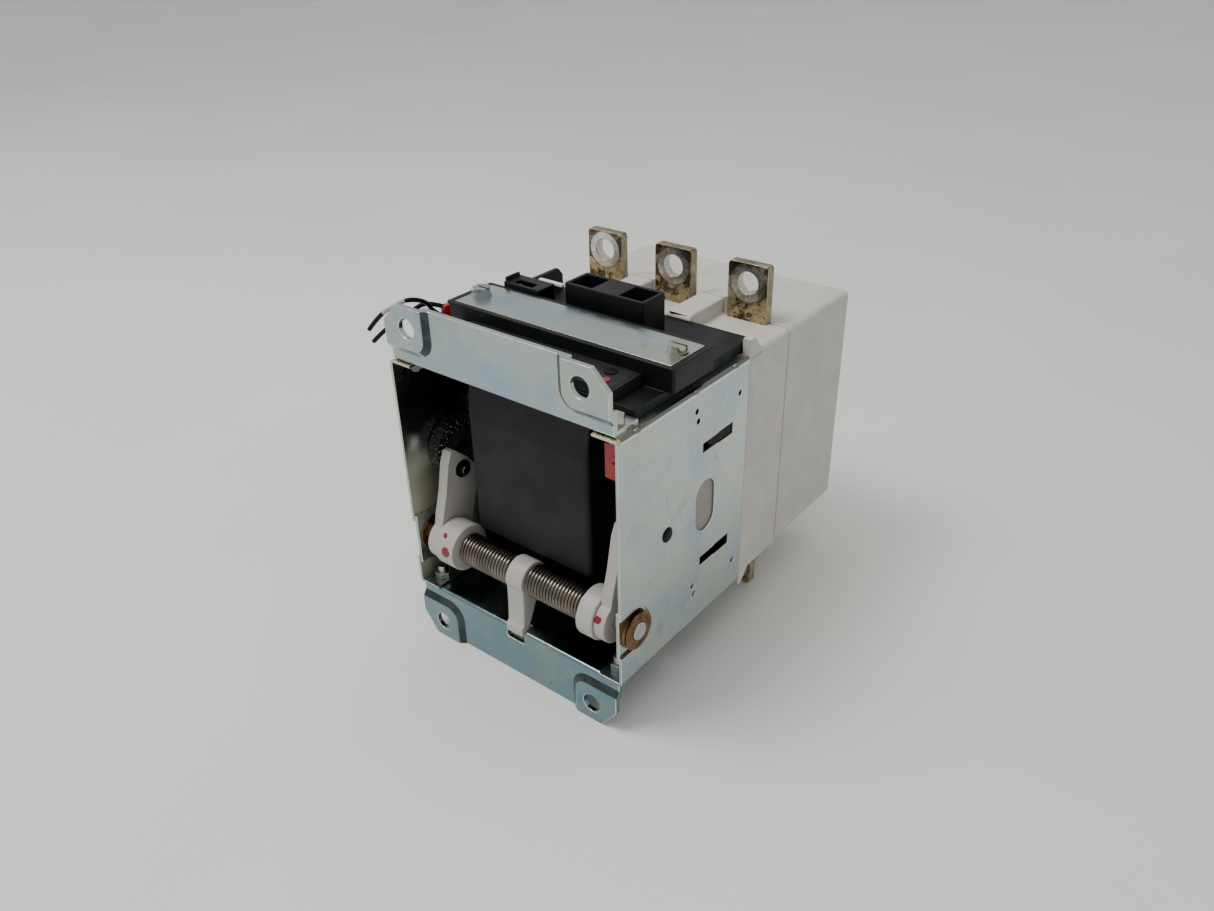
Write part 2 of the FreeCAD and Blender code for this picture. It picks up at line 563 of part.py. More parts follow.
def magnet_parts():
    """The coil on its bobbin, the fixed core behind the gap, and the plunger that the coil pulls in."""
    at = (0.0, size("magnet_high"))
    front, rear, wall = size("coil_front"), size("coil_rear"), size("bobbin_wall")
    coil_span = (front + wall, rear - wall)
    high, half, rim = size("magnet_high"), size("coil_half"), size("coil_half") + size("bobbin_lip")
    block = box((-half, half), coil_span, (high - half, high + half))
    bobbin_tube = rod("Y", at, size("bobbin_radius"), coil_span)
    winding = cut(rounded(block, SIZES["coil_corner"], along("Y")),
                  rod("Y", at, size("bobbin_radius"), (front, rear)))
    flanges = [box((-rim, rim), span, (high - rim, high + rim))
               for span in ((front, front + wall), (rear - wall, rear))]
    bobbin = cut(fuse(bobbin_tube, *flanges), rod("Y", at, size("bobbin_bore"), beyond((front, rear))))
    rod_hole = rod("Y", at, size("rod_bore"), (front, size("housing_front")))
    core_body = rod("Y", at, size("core_radius"), (size("core_front"), size("core_rear")))
    yoke = box((-half, half), (size("core_rear") - size("yoke_thick"), size("core_rear")), (high - half, high + half))
    core = cut(fuse(core_body, yoke), rod_hole)
    plunger = fuse(rod("Y", at, size("plunger_radius"), (size("plunger_front"), size("plunger_rear"))),
                   rod("Y", at, size("rod_radius"), (size("plunger_rear"), size("carrier_front"))))
    return winding, bobbin, core, plunger


node("coil_case", coil_case())
for name, shape in zip(("coil_winding", "coil_bobbin", "magnet_core", "magnet_plunger"), magnet_parts()):
    node(name, shape)


def contact_carrier():
    """The moulded crossbar that drives all three poles, with two thin arms forward outside the levers."""
    bar_back, arm_span = (size("carrier_front"), size("carrier_rear")), (size("arm_in"), size("arm_out"))
    bar = box((-size("carrier_half"), size("carrier_half")), bar_back, (size("carrier_low"), size("carrier_high")))
    tower = box((-size("tower_half"), size("tower_half")), bar_back, (size("carrier_low"), size("tower_high")))
    finger = box((-size("arm_out"), size("post_right")), post_back(), (size("finger_low"), size("finger_high")))
    arms, slots = [], []
    clear = size("pin_radius") + size("gap")
    for _, side in SIDES:
        arms.append(mirrored_box(side, arm_span, (size("arm_front"), size("carrier_rear")),
                                 (size("arm_low"), size("arm_high"))))
        slots.append(mirrored_box(side, beyond(arm_span), (size("pin_back") - clear, size("pin_back") + clear),
                                  (size("slot_low"), size("slot_high"))))
    return cut(fuse(bar, tower, finger, *arms), *slots)


def post_back():
    """Where the flag's post stands, counted back from the ears' face."""
    front = size("indicator_front") + size("flag_inset")
    return front, front + size("post_deep")


node("contact_carrier", contact_carrier())


def upper_terminal(middle):
    """A bar in three straight lengths: the blade, a run back over the pole, a drop to the fixed stud."""
    front, thick, half = size("blade_front"), size("blade_thick"), size("blade_half")
    across = (middle - half, middle + half)
    run_low, drop_front = size("upper_run_low"), size("upper_drop_front")
    blade_back, drop_back = (front, front + thick), (drop_front, drop_front + thick)
    blade = box(across, blade_back, (run_low, size("blade_top")))
    eased = rounded(blade, SIZES["blade_chamfer"], along("Y", lambda c: c.z > SIZES["blade_top"] - SIZES["past"]))
    hole = rod("Y", (middle, size("blade_top") - size("blade_hole_in")), size("blade_hole"), beyond(blade_back))
    run = box(across, (blade_back[1], drop_back[1]), (run_low, run_low + thick))
    drop = box(across, drop_back, (size("upper_drop_low"), run_low))
    stud_hole = rod("Y", (middle, size("pole_high")), size("fixed_stud") + size("seat"), beyond(drop_back))
    return group(cut(eased, hole), run, cut(drop, stud_hole))


def lower_terminal(middle):
    """A straight bar whose lower end stands level with the ears."""
    half, blade_back = size("blade_half"), (size("blade_front"), size("blade_front") + size("blade_thick"))
    blade = box((middle - half, middle + half), blade_back, (0.0, size("lower_blade_top")))
    eased = rounded(blade, SIZES["blade_chamfer"], along("Y", lambda c: c.z < SIZES["past"]))
    return cut(eased, rod("Y", (middle, size("blade_hole_in")), size("blade_hole"), beyond(blade_back)))


def interrupter(middle):
    """A sealed tube with an end cap at each end and a fixed stud at the back."""
    at, thick = (middle, size("pole_high")), size("cap_thick")
    front, rear = size("tube_front"), size("tube_rear")
    tube = rod("Y", at, size("tube_radius"), (front, rear))
    front_cap = rod("Y", at, size("cap_radius"), (front - thick, front))
    rear_cap = rod("Y", at, size("cap_radius"), (rear, rear + thick))
    stud = rod("Y", at, size("fixed_stud"), (rear, size("upper_drop_front") + size("blade_thick")))
    stem_room = rod("Y", at, size("stem_radius") + size("gap"),
                    (front - thick - past, rear - size("stem_room")))
    return cut(fuse(tube, front_cap, rear_cap, stud), stem_room)


def contact_stem(middle):
    """The moving contact's stem, screwed into the carrier."""
    return rod("Y", (middle, size("pole_high")), size("stem_radius"),
               (size("carrier_rear"), size("tube_rear") - size("stem_short")))


def flexible_link(middle):
    """A laminated strap from the lower bar up to an eye on the stem."""
    half, link_back = size("link_half"), (size("link_front"), size("link_front") + size("link_thick"))
    at = (middle, size("pole_high"))
    strap = box((middle - half, middle + half), link_back, (size("link_low"), size("pole_high")))
    eye = rod("Y", at, size("link_eye"), link_back)
    return cut(fuse(strap, eye), rod("Y", at, size("stem_radius") + size("seat"), beyond(link_back)))


for number, middle in enumerate(pole_places, start=1):
    node(f"upper_terminal_{number}", upper_terminal(middle))
    node(f"lower_terminal_{number}", lower_terminal(middle))
    node(f"interrupter_{number}", interrupter(middle))
    node(f"contact_stem_{number}", contact_stem(middle))
    node(f"flexible_link_{number}", flexible_link(middle))


def rib_spans():
    """The limits along X of the two ribs between the poles."""
    middles = (size("pitch") * -0.5, size("pitch") * 0.5)
    return [(middle - size("rib_half"), middle + size("rib_half")) for middle in middles]


def terminal_slots():
    """Room for the blades where they pass the top and bottom walls."""
    clear, wall = size("blade_clear"), size("housing_wall")
    half = size("blade_half") + clear
    through = (size("blade_front") - clear, size("blade_front") + size("blade_thick") + clear)
    slots = []
    for middle in pole_places:
        for level in (size("housing_top") - wall, size("housing_low")):
            slots.append(box((middle - half, middle + half), through, beyond((level, level + wall))))
    return slots


def front_housing():
    """The pale front half: hollow, open to the rear, with windows for the arms and two cheeks forward."""
    front, split, wall = size("housing_front"), size("housing_split"), size("housing_wall")
    low, top, gap = size("housing_low"), size("housing_top"), size("cover_gap")
    step = size("cover_rear") + gap
    shell = box((-half_wide, half_wide), (front, split), (low, top))
    shell = rounded(shell, SIZES["housing_round"],
                    along("Y", lambda c: abs(c.x) > edge_out and c.z > SIZES["plate_top"] - SIZES["past"]))
    foot = prism("X", [(front, low), (front, size("foot_low")), (size("foot_front"), size("foot_low")),
                       (size("foot_rear"), low)], (-half_wide, half_wide))
    horn_outline = [(front, top - wall), (front, size("horn_top")), (size("horn_rear"), size("horn_top")),
                    (size("horn_foot"), top), (size("horn_foot"), top - wall)]
    beside_cover = (size("cover_half") + gap, half_wide)
    horns = [prism("X", horn_outline, beside_cover),
             prism("X", horn_outline, (-beside_cover[1], -beside_cover[0]))]
    nose_low, nose, rib_top = size("cover_top") + gap, size("rib_front"), size("rib_top")
    flat = size("nose_flat")
    rib_outline = [(step, top - past), (step, nose_low), (nose, nose_low), (nose, nose_low + flat),
                   (nose + flat, rib_top - size("nose_rise")), (nose + size("nose_deep"), rib_top),
                   (split, rib_top), (split, top - past)]
    ribs = [prism("X", rib_outline, span) for span in rib_spans()]
    eased = [rounded(rib, SIZES["rib_edge"], along("Y", lambda c: c.z > SIZES["rib_top"] - 0.1)) for rib in ribs]
    cheeks = [mirrored_box(side, (size("cheek_in"), size("cheek_out")), (size("cheek_front"), front + past),
                           (size("cheek_low"), size("cheek_high"))) for _, side in SIDES]
    hollow = box((-half_wide + wall, half_wide - wall), (front + wall, split + past), (low + wall, top - wall))
    under_cover = box(beyond((-half_wide, half_wide)), (front - past, step), (size("plate_top") - gap, top + past))
    wall_through = beyond((front, front + wall))
    windows = [mirrored_box(side, beyond((size("arm_in"), size("arm_out"))), wall_through,
                            beyond((size("arm_low"), size("arm_high")))) for _, side in SIDES]
    rod_hole = rod("Y", (0.0, size("magnet_high")), size("rod_bore"), wall_through)
    body = fuse(cut(fuse(shell, foot, *cheeks), under_cover), *horns, *eased)
    return cut(body, hollow, *windows, rod_hole, *terminal_slots())


def screw_places():
    inset = size("screw_inset")
    return [((half_wide - inset) * side, high) for _, side in SIDES
            for high in (size("housing_low") + inset, size("housing_top") - inset)]


def rear_housing():
    """The pale rear half: a deep cup with a barrier between neighbouring poles."""
    split, rear, wall = size("housing_split"), size("housing_rear"), size("housing_wall")
    low, top, rib_rear = size("housing_low"), size("housing_top"), size("rib_rear")
    outer = box((-half_wide, half_wide), (split, rear), (low, top))
    outer = rounded(outer, SIZES["housing_round"], along("Y", lambda c: abs(c.x) > edge_out))
    hollow = box((-half_wide + wall, half_wide - wall), (split - past, rear - wall), (low + wall, top - wall))
    rib_outline = [(split, top - past), (split, size("rib_top")), (rib_rear, top), (rib_rear, top - past)]
    ribs, barriers = [], []
    for middle, span in zip((size("pitch") * -0.5, size("pitch") * 0.5), rib_spans()):
        ribs.append(prism("X", rib_outline, span))
        barriers.append(box((middle - wall * 0.5, middle + wall * 0.5), (split, rear - past),
                            (low + past, top - past)))
    hole = size("housing_screw") + size("running")
    screw_holes = [rod("Y", at, hole, beyond((rear - wall, rear))) for at in screw_places()]
    return cut(fuse(cut(outer, hollow), *ribs, *barriers), *terminal_slots(), *screw_holes)


node("front_housing", front_housing())
node("rear_housing", rear_housing())


def housing_screws():
    """Four screws from the back, which hold the two halves together."""
    rear = size("housing_rear")
    screws = []
    for at in screw_places():
        head = rod("Y", at, size("back_head"), (rear, rear + size("back_head_tall")))
        shank = rod("Y", at, size("housing_screw"), (rear - size("housing_wall") * 2, rear))
        screws.append(fuse(head, shank))
    return group(*screws)


def top_cover():
    """The black cover: a flat tray, a raised frame with a seat for the strip, and a gusset at the left."""
    low, top, gap = size("plate_top"), size("cover_top"), size("gap")
    half, rim_half, wall, rim_wall = size("cover_half"), size("rim_half"), size("cover_wall"), size("rim_wall")
    front, rear, rim_top = size("cover_front"), size("cover_rear"), size("rim_top")
    base = rounded(box((-half, half), (front, rear), (low, top)), SIZES["cover_corner"], along("Z"))
    rim = rounded(box((-rim_half, rim_half), (size("rim_front"), size("rim_rear")), (top, rim_top)),
                  SIZES["cover_corner"], along("Z"))
    seat_half = size("strip_half") + gap
    seat = box((-seat_half, seat_half), (size("strip_front") - gap, size("strip_rear") + gap),
               (rim_top - size("strip_thick"), rim_top + past))
    under = box((-half + wall, half - wall), (front + wall, rear - wall), (low - past, top - size("cover_skin")))
    hollow = box((-rim_half + rim_wall, rim_half - rim_wall), (size("rim_front") + wall, size("rim_rear") - wall),
                 (low - past, rim_top - size("rim_skin")))
    left, lug_front, lug_top = size("lug_left"), size("lug_front"), size("lug_top")
    gusset = prism("X", [(lug_front, top), (rear, top), (rear, lug_top - size("lug_drop")),
                         (rear - size("lug_cut"), lug_top), (lug_front, lug_top)], (left, left + size("lug_thick")))
    screw_holes = [rod("Z", (size("screw_out") * side, size("screw_back")), size("screw_radius"),
                       beyond((top, rim_top))) for _, side in SIDES]
    slot_wall = size("indicator_wall")
    flag_slot = box(beyond((size("post_left"), size("post_right"))),
                    (size("indicator_front") + slot_wall, size("indicator_rear") - slot_wall), beyond((low, top)))
    return cut(fuse(base, rim, gusset), seat, under, hollow, *screw_holes, flag_slot)


def clamp_strip():
    """The plain zinc strip that lies in the cover's frame, drilled for its two screws."""
    span = (size("rim_top") - size("strip_thick"), size("rim_top"))
    strip = box((-size("strip_half"), size("strip_half")), (size("strip_front"), size("strip_rear")), span)
    return cut(strip, *[rod("Z", (size("screw_out") * side, size("screw_back")), size("screw_radius"),
                            beyond(span)) for _, side in SIDES])


def strip_screws():
    """Two slotted cheese-head screws, each on a washer."""
    solids = []
    washer_span = (size("rim_top"), size("rim_top") + size("washer_thick"))
    head_span = (washer_span[1], washer_span[1] + size("screw_head_tall"))
    reach, slot_half = size("washer_radius"), size("screw_slot")
    for _, side in SIDES:
        x, back = size("screw_out") * side, size("screw_back")
        solids.append(cut(rod("Z", (x, back), size("washer_radius"), washer_span),
                          rod("Z", (x, back), size("screw_radius"), beyond(washer_span))))
        screw = fuse(rod("Z", (x, back), size("screw_head"), head_span),
                     rod("Z", (x, back), size("screw_radius") - size("running"),
                         (size("cover_top") - past, head_span[0])))
        slot = box((x - reach, x + reach), (back - slot_half, back + slot_half),
                   (head_span[1] - size("screw_slot_deep"), head_span[1] + past))
        solids.append(cut(screw, slot))
    return group(*solids)


def socket_block():
    """A raised block with two square pockets, open at the top."""
    half, front, rear = size("socket_half"), size("socket_front"), size("socket_rear")
    wall, top = size("pocket_wall"), size("socket_top")
    block = rounded(box((-half, half), (front, rear), (size("cover_top"), top)), SIZES["socket_corner"], along("Z"))
    pockets = [mirrored_box(side, (size("pocket_in"), half - wall), (front + wall, rear - wall),
                            (top - size("pocket_deep"), top + past)) for _, side in SIDES]
    return cut(block, *pockets)


def indicator_block():
    """A small hood over the flag: a window on top, a ridge along its left edge, an open right end."""
    left, right, wall = size("indicator_left"), size("indicator_right"), size("indicator_wall")
    front, rear, top = size("indicator_front"), size("indicator_rear"), size("indicator_top")
    roof = size("indicator_roof")
    hood = rounded(box((left, right), (front, rear), (size("cover_top"), top)), SIZES["indicator_corner"], along("Z"))
    ridge = box((left, left + size("ridge_thick")), (front + size("ridge_inset"), rear - size("ridge_inset")),
                (top, size("ridge_top")))
    room = box((left + wall, right + past), (front + wall, rear - wall), (size("cover_top") - past, top - roof))
    window_front = front + size("window_inset")
    window = box((size("window_left"), size("window_right")), (window_front, window_front + size("window_deep")),
                 beyond((top - roof, top)))
    return cut(fuse(hood, ridge), room, window)


def indicator_flag():
    """The red flag under the window, on a post that stands on a finger of the carrier's left arm."""
    back = post_back()
    top = size("indicator_top") - size("flag_drop")
    under = top - size("flag_thick")
    plate = box((size("flag_left"), size("window_right")), (back[0], back[0] + size("flag_deep")), (under, top))
    post = box((size("post_left"), size("post_right")), back, (size("finger_high"), under))
    return fuse(plate, post)


node("housing_screws", housing_screws())
node("top_cover", top_cover())
node("clamp_strip", clamp_strip())
node("strip_screws", strip_screws())
node("socket_block", socket_block())
node("indicator_block", indicator_block())
node("indicator_flag", indicator_flag())

panel_half, panel_top, plate_face = size("panel_half"), size("panel_top"), half_wide - size("sheet")
node("front_ledge_panel", box((-panel_half, panel_half), (size("panel_front"), size("rim_front")),
                              (size("cover_top"), panel_top)))
node("panel_screw", rod("Z", (size("panel_screw_x"), size("panel_screw_back")), size("panel_screw_head"),
                        (panel_top, panel_top + size("panel_screw_tall"))))
node("panel_marker", rod("Z", (size("marker_x"), size("marker_back")), size("marker_radius"),
                         (panel_top, panel_top + size("marker_tall"))))
node("auxiliary_switch", box((size("switch_in"), plate_face), (size("switch_front"), size("switch_rear")),
                             (size("switch_low"), size("switch_high"))))
cap_outline = [(size("switch_front"), size("cap_low")), (size("cap_front"), size("cap_slope")),
               (size("cap_front"), size("cap_high")), (size("switch_front"), size("cap_high"))]
node("auxiliary_switch_cap", prism("X", cap_outline, (size("cap_in"), plate_face)))
node("coil_terminal", box((size("tag_left"), size("tag_right")), (size("tag_front"), size("tag_rear")),
                          (size("cover_top"), size("cover_top") + size("tag_tall"))))


def lead_tube(points, radius):
    """A lead: straight runs joined by arcs as large as the runs allow."""
    corners = [Vector(*point) for point in points]
    edges, at = [], corners[0]
    for before, corner, after in zip(corners, corners[1:], corners[2:]):
        into, out_of = (corner - before).normalize(), (after - corner).normalize()
        reach = 0.45 * min(before.distanceToPoint(corner), corner.distanceToPoint(after))
        half_turn = into.getAngle(out_of) * 0.5
        start, end = corner - into * reach, corner + out_of * reach
        bulge = (out_of - into).normalize()
        bend_radius = reach / math.tan(half_turn)
        centre = corner + bulge * (bend_radius / math.cos(half_turn))
        middle = centre - bulge * bend_radius
        edges += [Part.LineSegment(at, start).toShape(), Part.Arc(start, middle, end).toShape()]
        print(f"bend radius {bend_radius:.1f} mm")
        at = end
    edges.append(Part.LineSegment(at, corners[-1]).toShape())
    path = Part.Wire(edges)
    first = (corners[1] - corners[0]).normalize()
    section = Part.Wire(Part.Circle(corners[0], first, radius).toShape())
    tube = path.makePipeShell([section], True, False)
    drift = tube.Volume / (math.pi * radius ** 2 * path.Length)
    print(f"lead {path.Length:.1f} mm long, volume over section times length {drift:.4f}")
    return tube


LEADS = {
    "lead_wire_a": [(-67, 37, 195), (-70, 33, 197), (-72, 27, 199), (-72, 20, 198), (-77, 14, 193),
                    (-87, 11, 186), (-95, 9, 178)],
    "lead_wire_b": [(-67, 37, 189), (-69, 30, 194), (-65, 23, 203), (-69, 15, 206), (-77, 11, 202),
                    (-88, 9, 194), (-96, 8, 185)],
}
for name, points in LEADS.items():
    lead = doc.addObject("Part::Feature", name)
    lead.Shape = lead_tube(points, SIZES["lead_radius"])
    lead.Placement = Placement(Vector(0, SIZES["set_forward"], 0), Rotation())
    node(name, lead)

doc.recompute()
broken = [item.Label for item in doc.Objects if {"Invalid", "Error"} & set(item.State)]
broken += [name for name, item in nodes.items() if item.Shape.isNull() or not item.Shape.isValid()]
if broken:
    raise RuntimeError(f"failed objects: {broken}")
os.makedirs("parts", exist_ok=True)
for name, item in nodes.items():
    item.Shape.exportStep(f"parts/{name}.step")
    solids, box_size = len(item.Shape.Solids), item.Shape.BoundBox
    print(f"{name}: {solids} solids, {item.Shape.Volume / 1000:.2f} cm3, x {box_size.XMin:.1f} {box_size.XMax:.1f}"
          f" y {box_size.YMin:.1f} {box_size.YMax:.1f} z {box_size.ZMin:.1f} {box_size.ZMax:.1f}")
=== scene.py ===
"""Three-pole power switching unit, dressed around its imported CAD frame. Lengths are in metres."""
import json
import math
import random

import bmesh
import bpy
from mathutils import Matrix, Vector


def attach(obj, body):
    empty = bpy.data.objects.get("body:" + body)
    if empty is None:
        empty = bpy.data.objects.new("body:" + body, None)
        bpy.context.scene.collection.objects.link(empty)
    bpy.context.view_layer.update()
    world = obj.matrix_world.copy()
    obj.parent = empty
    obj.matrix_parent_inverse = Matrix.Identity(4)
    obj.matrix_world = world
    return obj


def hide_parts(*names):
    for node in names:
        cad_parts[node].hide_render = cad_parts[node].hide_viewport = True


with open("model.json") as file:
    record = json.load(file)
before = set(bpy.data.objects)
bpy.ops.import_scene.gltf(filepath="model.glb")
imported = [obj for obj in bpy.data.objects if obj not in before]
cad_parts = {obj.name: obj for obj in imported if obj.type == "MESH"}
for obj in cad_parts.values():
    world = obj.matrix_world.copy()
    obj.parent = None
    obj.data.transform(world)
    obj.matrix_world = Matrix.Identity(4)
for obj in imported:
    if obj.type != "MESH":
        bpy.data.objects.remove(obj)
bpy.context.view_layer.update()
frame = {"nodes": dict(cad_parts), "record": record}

MM = 0.001
nodes = frame["nodes"]


# ---------------------------------------------------------------- camera, floor and light

AZIMUTH, ELEVATION, ROLL = (math.radians(a) for a in (39.0, 30.3, -1.4))
CAMERA_AT = (0.310, -0.409, 0.391)
LENS_MM, SENSOR_MM = 29.5, 36.0


def turned(azimuth, elevation, roll=0.0):
    """The rotation of a camera or lamp that looks back at the origin from an azimuth and elevation."""
    back = Vector((math.sin(azimuth) * math.cos(elevation),
                   -math.cos(azimuth) * math.cos(elevation), math.sin(elevation)))
    level = Vector((math.cos(azimuth), math.sin(azimuth), 0))
    upward = back.cross(level)
    across = level * math.cos(roll) + upward * math.sin(roll)
    up = upward * math.cos(roll) - level * math.sin(roll)
    return Matrix((across, up, back)).transposed().to_4x4()


def add_camera():
    data = bpy.data.cameras.new("camera")
    data.lens, data.sensor_width, data.sensor_fit = LENS_MM, SENSOR_MM, "HORIZONTAL"
    data.clip_start, data.clip_end = 0.01, 100
    camera = bpy.data.objects.new("camera", data)
    camera.matrix_world = Matrix.Translation(CAMERA_AT) @ turned(AZIMUTH, ELEVATION, ROLL)
    bpy.context.scene.collection.objects.link(camera)
    bpy.context.scene.camera = camera


def add_lamp(name, azimuth, elevation, distance, wide, watts, tint=(1, 1, 1)):
    """A soft square lamp that faces the object."""
    data = bpy.data.lights.new(name, "AREA")
    data.shape, data.size, data.energy, data.color = "SQUARE", wide, watts, tint
    lamp = bpy.data.objects.new(name, data)
    turn = turned(math.radians(azimuth), math.radians(elevation))
    middle = Vector((0, 0, 0.1))
    lamp.matrix_world = Matrix.Translation(middle + turn.to_3x3().col[2] * distance) @ turn
    bpy.context.scene.collection.objects.link(lamp)


add_camera()
add_lamp("key", -42, 64, 1.5, 0.6, 13, (1.0, 0.995, 0.985))
add_lamp("ceiling", 0, 88, 2.2, 2.4, 13, (1.0, 1.0, 0.985))
add_lamp("left_wall", -75, 18, 1.9, 1.4, 3.5, (0.96, 0.98, 1.0))
world = bpy.data.worlds.new("studio")
bpy.context.scene.world = world
world.use_nodes = True
world.node_tree.nodes["Background"].inputs["Color"].default_value = (0.84, 0.84, 0.825, 1)
world.node_tree.nodes["Background"].inputs["Strength"].default_value = 0.77


# ---------------------------------------------------------------- materials

class Shade:
    """A procedural material: a Principled shader, and helpers that add nodes in front of it."""

    def __init__(self, name, **constants):
        self.material = bpy.data.materials.new(name)
        self.material.use_nodes = True
        self.tree = self.material.node_tree
        self.shader = self.tree.nodes["Principled BSDF"]
        for socket, value in constants.items():
            self.shader.inputs[socket.replace("_", " ")].default_value = value
        coordinates = self.tree.nodes.new("ShaderNodeTexCoord").outputs
        self.place, self.facing = coordinates["Object"], coordinates["Normal"]

    def add(self, kind, settings=None, **inputs):
        made = self.tree.nodes.new("ShaderNode" + kind)
        for key, value in (settings or {}).items():
            setattr(made, key, value)
        for key, value in inputs.items():
            self.feed(made.inputs[key.replace("_", " ")], value)
        return made

    def feed(self, socket, value):
        if isinstance(value, bpy.types.NodeSocket):
            self.tree.links.new(value, socket)
        else:
            socket.default_value = value

    def stretched(self, x, y, z):
        """Object coordinates scaled by axis, for grain and streaks."""
        return self.add("Mapping", Vector=self.place, Scale=(x, y, z)).outputs["Vector"]

    def noise(self, scale, detail=3.0, rough=0.5, twist=0.0, vector=None):
        return self.add("TexNoise", Vector=vector or self.place, Scale=scale, Detail=detail, Roughness=rough,
                        Distortion=twist).outputs["Fac"]

    def between(self, value, low, high, to_low=0.0, to_high=1.0):
        made = self.add("MapRange", {"interpolation_type": "SMOOTHSTEP"}, Value=value)
        for index, limit in zip((1, 2, 3, 4), (low, high, to_low, to_high)):
            made.inputs[index].default_value = limit
        return made.outputs["Result"]

    def maths(self, operation, a, b=0.0):
        made = self.add("Math", {"operation": operation})
        self.feed(made.inputs[0], a)
        self.feed(made.inputs[1], b)
        return made.outputs["Value"]

    def both(self, first, *others):
        """Masks or numbers multiplied together."""
        for other in others:
            first = self.maths("MULTIPLY", first, other)
        return first

    def hypotenuse(self, a, b):
        return self.maths("SQRT", self.maths("ADD", self.both(a, a), self.both(b, b)))

    def above(self, value, limit):
        return self.maths("GREATER_THAN", value, limit)

    def below(self, value, limit):
        return self.maths("LESS_THAN", value, limit)

    def mixed(self, share, a, b, blend="MIX"):
        """Two colours mixed by a share; either may be a plain (r, g, b)."""
        made = self.add("Mix", {"data_type": "RGBA", "blend_type": blend})
        self.feed(made.inputs[0], share)
        for index, colour in ((6, a), (7, b)):
            plain = not isinstance(colour, bpy.types.NodeSocket)
            self.feed(made.inputs[index], (*colour, 1) if plain else colour)
        return made.outputs[2]

    def height(self, axis="Z"):
        """One of the object coordinates on its own."""
        return self.add("SeparateXYZ", Vector=self.place).outputs[axis]

    def distance(self, x, y, z):
        """How far a point of the surface lies from a place given in object coordinates."""
        offset = self.add("VectorMath", {"operation": "DISTANCE"})
        self.feed(offset.inputs[0], self.place)
        self.feed(offset.inputs[1], (x, y, z))
        return offset.outputs["Value"]

    def spot(self, at, radius, ragged, scale=900):
        """A mask that is 1 inside a ragged blot round a place, 0 outside."""
        edge = self.maths("MULTIPLY", self.noise(scale, 3, 0.6), ragged)
        return self.between(self.maths("ADD", self.distance(*at), edge), radius, radius + 0.0003, 1.0, 0.0)

    def bump(self, height, distance, strength=1.0, under=None):
        made = self.add("Bump", Height=height, Distance=distance, Strength=strength)
        if under is not None:
            self.feed(made.inputs["Normal"], under)
        return made.outputs["Normal"]

    def finish(self, **links):
        for socket, value in links.items():
            self.feed(self.shader.inputs[socket.replace("_", " ")], value)
        return self.material


# Where the zinc changes: painted shade on its lowest part and front faces, the left plate's inside paler and
# duller, golden tabs, a painted dark band and a painted highlight line along the plates' top bends, and
# painted shade under the upper flanges.
LOW_PART, FRONT_PART, FADE = 0.033, -0.1045, 0.0015
LEFT_INSIDE, LEFT_DEEP, LEFT_LOW, LEFT_HIGH = -0.0710, -0.040, 0.110, 0.124
TAB_IN, TAB_FRONT, TAB_LOW, TAB_HIGH = 0.060, -0.1080, 0.1735, 0.1760
PLATE_OUTSIDE, FLANGE_INSIDE, FLANGE_UNDER, UPPER_HALF = 0.0732, 0.0730, 0.1740, 0.16
BEND_FRONT, FLANGE_FRONT = -0.1085, -0.094
BEND_LOW, BEND_HIGH = 0.1741, 0.1745
LINE_LOW, LINE_HIGH = (0.1728, 0.1732), (0.1738, 0.1741)


def clouded(s, base, warm, cool):
    """Cloudy passivation from yellow to blue, with smears, dull stains and small spots."""
    clouds = s.between(s.noise(26, 6, 0.62, 0.8), 0.38, 0.62)
    drift = s.between(s.noise(9, 4, 0.6, 1.4), 0.36, 0.62)
    colour = s.mixed(drift, base, cool)
    colour = s.mixed(s.both(clouds, 0.55), colour, warm)
    smear = s.between(s.noise(34, 6, 0.7, 1.2, vector=s.stretched(1, 1.5, 0.7)), 0.50, 0.75)
    colour = s.mixed(s.both(smear, 0.30), colour, (0.62, 0.70, 0.72))
    stain = s.between(s.noise(48, 5, 0.7, 2.0, vector=s.stretched(1, 1, 0.55)), 0.58, 0.72)
    colour = s.mixed(s.both(stain, 0.40), colour, (0.27, 0.26, 0.21))
    spots = s.between(s.noise(420, 3, 0.6), 0.68, 0.74)
    return s.mixed(s.both(spots, 0.35), colour, (0.22, 0.22, 0.19))


def left_inside(s, facing):
    """A mask for the upper front part of the left plate's inner face."""
    return s.both(s.between(s.height("X"), LEFT_INSIDE - 0.0012, LEFT_INSIDE, 1.0, 0.0),
                  s.above(facing["X"], 0.5),
                  s.between(s.height("Y"), LEFT_DEEP - 0.030, LEFT_DEEP, 1.0, 0.0),
                  s.between(s.height("Z"), LEFT_LOW, LEFT_HIGH, 1.0, 0.0))


def painted_place_shade(s, colour, facing, inner):
    """Painted shade: darkens the low and the forward faces, where their reflections fall dark. The left
    plate's inside turns paler, yellower and duller.
    """
    # Painted shade: the lowest part (the lower bracket) and the forward faces are darkened.
    low = s.between(s.height("Z"), LOW_PART, LOW_PART + FADE, 1.0, 0.0)
    front = s.both(s.below(facing["Y"], -0.5),
                   s.between(s.height("Y"), FRONT_PART, FRONT_PART + FADE, 1.0, 0.0))
    colour = s.mixed(s.both(inner, 0.75), colour, (0.70, 0.69, 0.52))
    painted_shade_tone = s.mixed(1.0, colour, (0.80, 0.81, 0.80), "MULTIPLY")
    colour = s.mixed(s.both(front, s.maths("SUBTRACT", 1.0, low)), colour, painted_shade_tone)
    return s.mixed(low, colour, s.mixed(1.0, colour, (0.42, 0.53, 0.55), "MULTIPLY"))


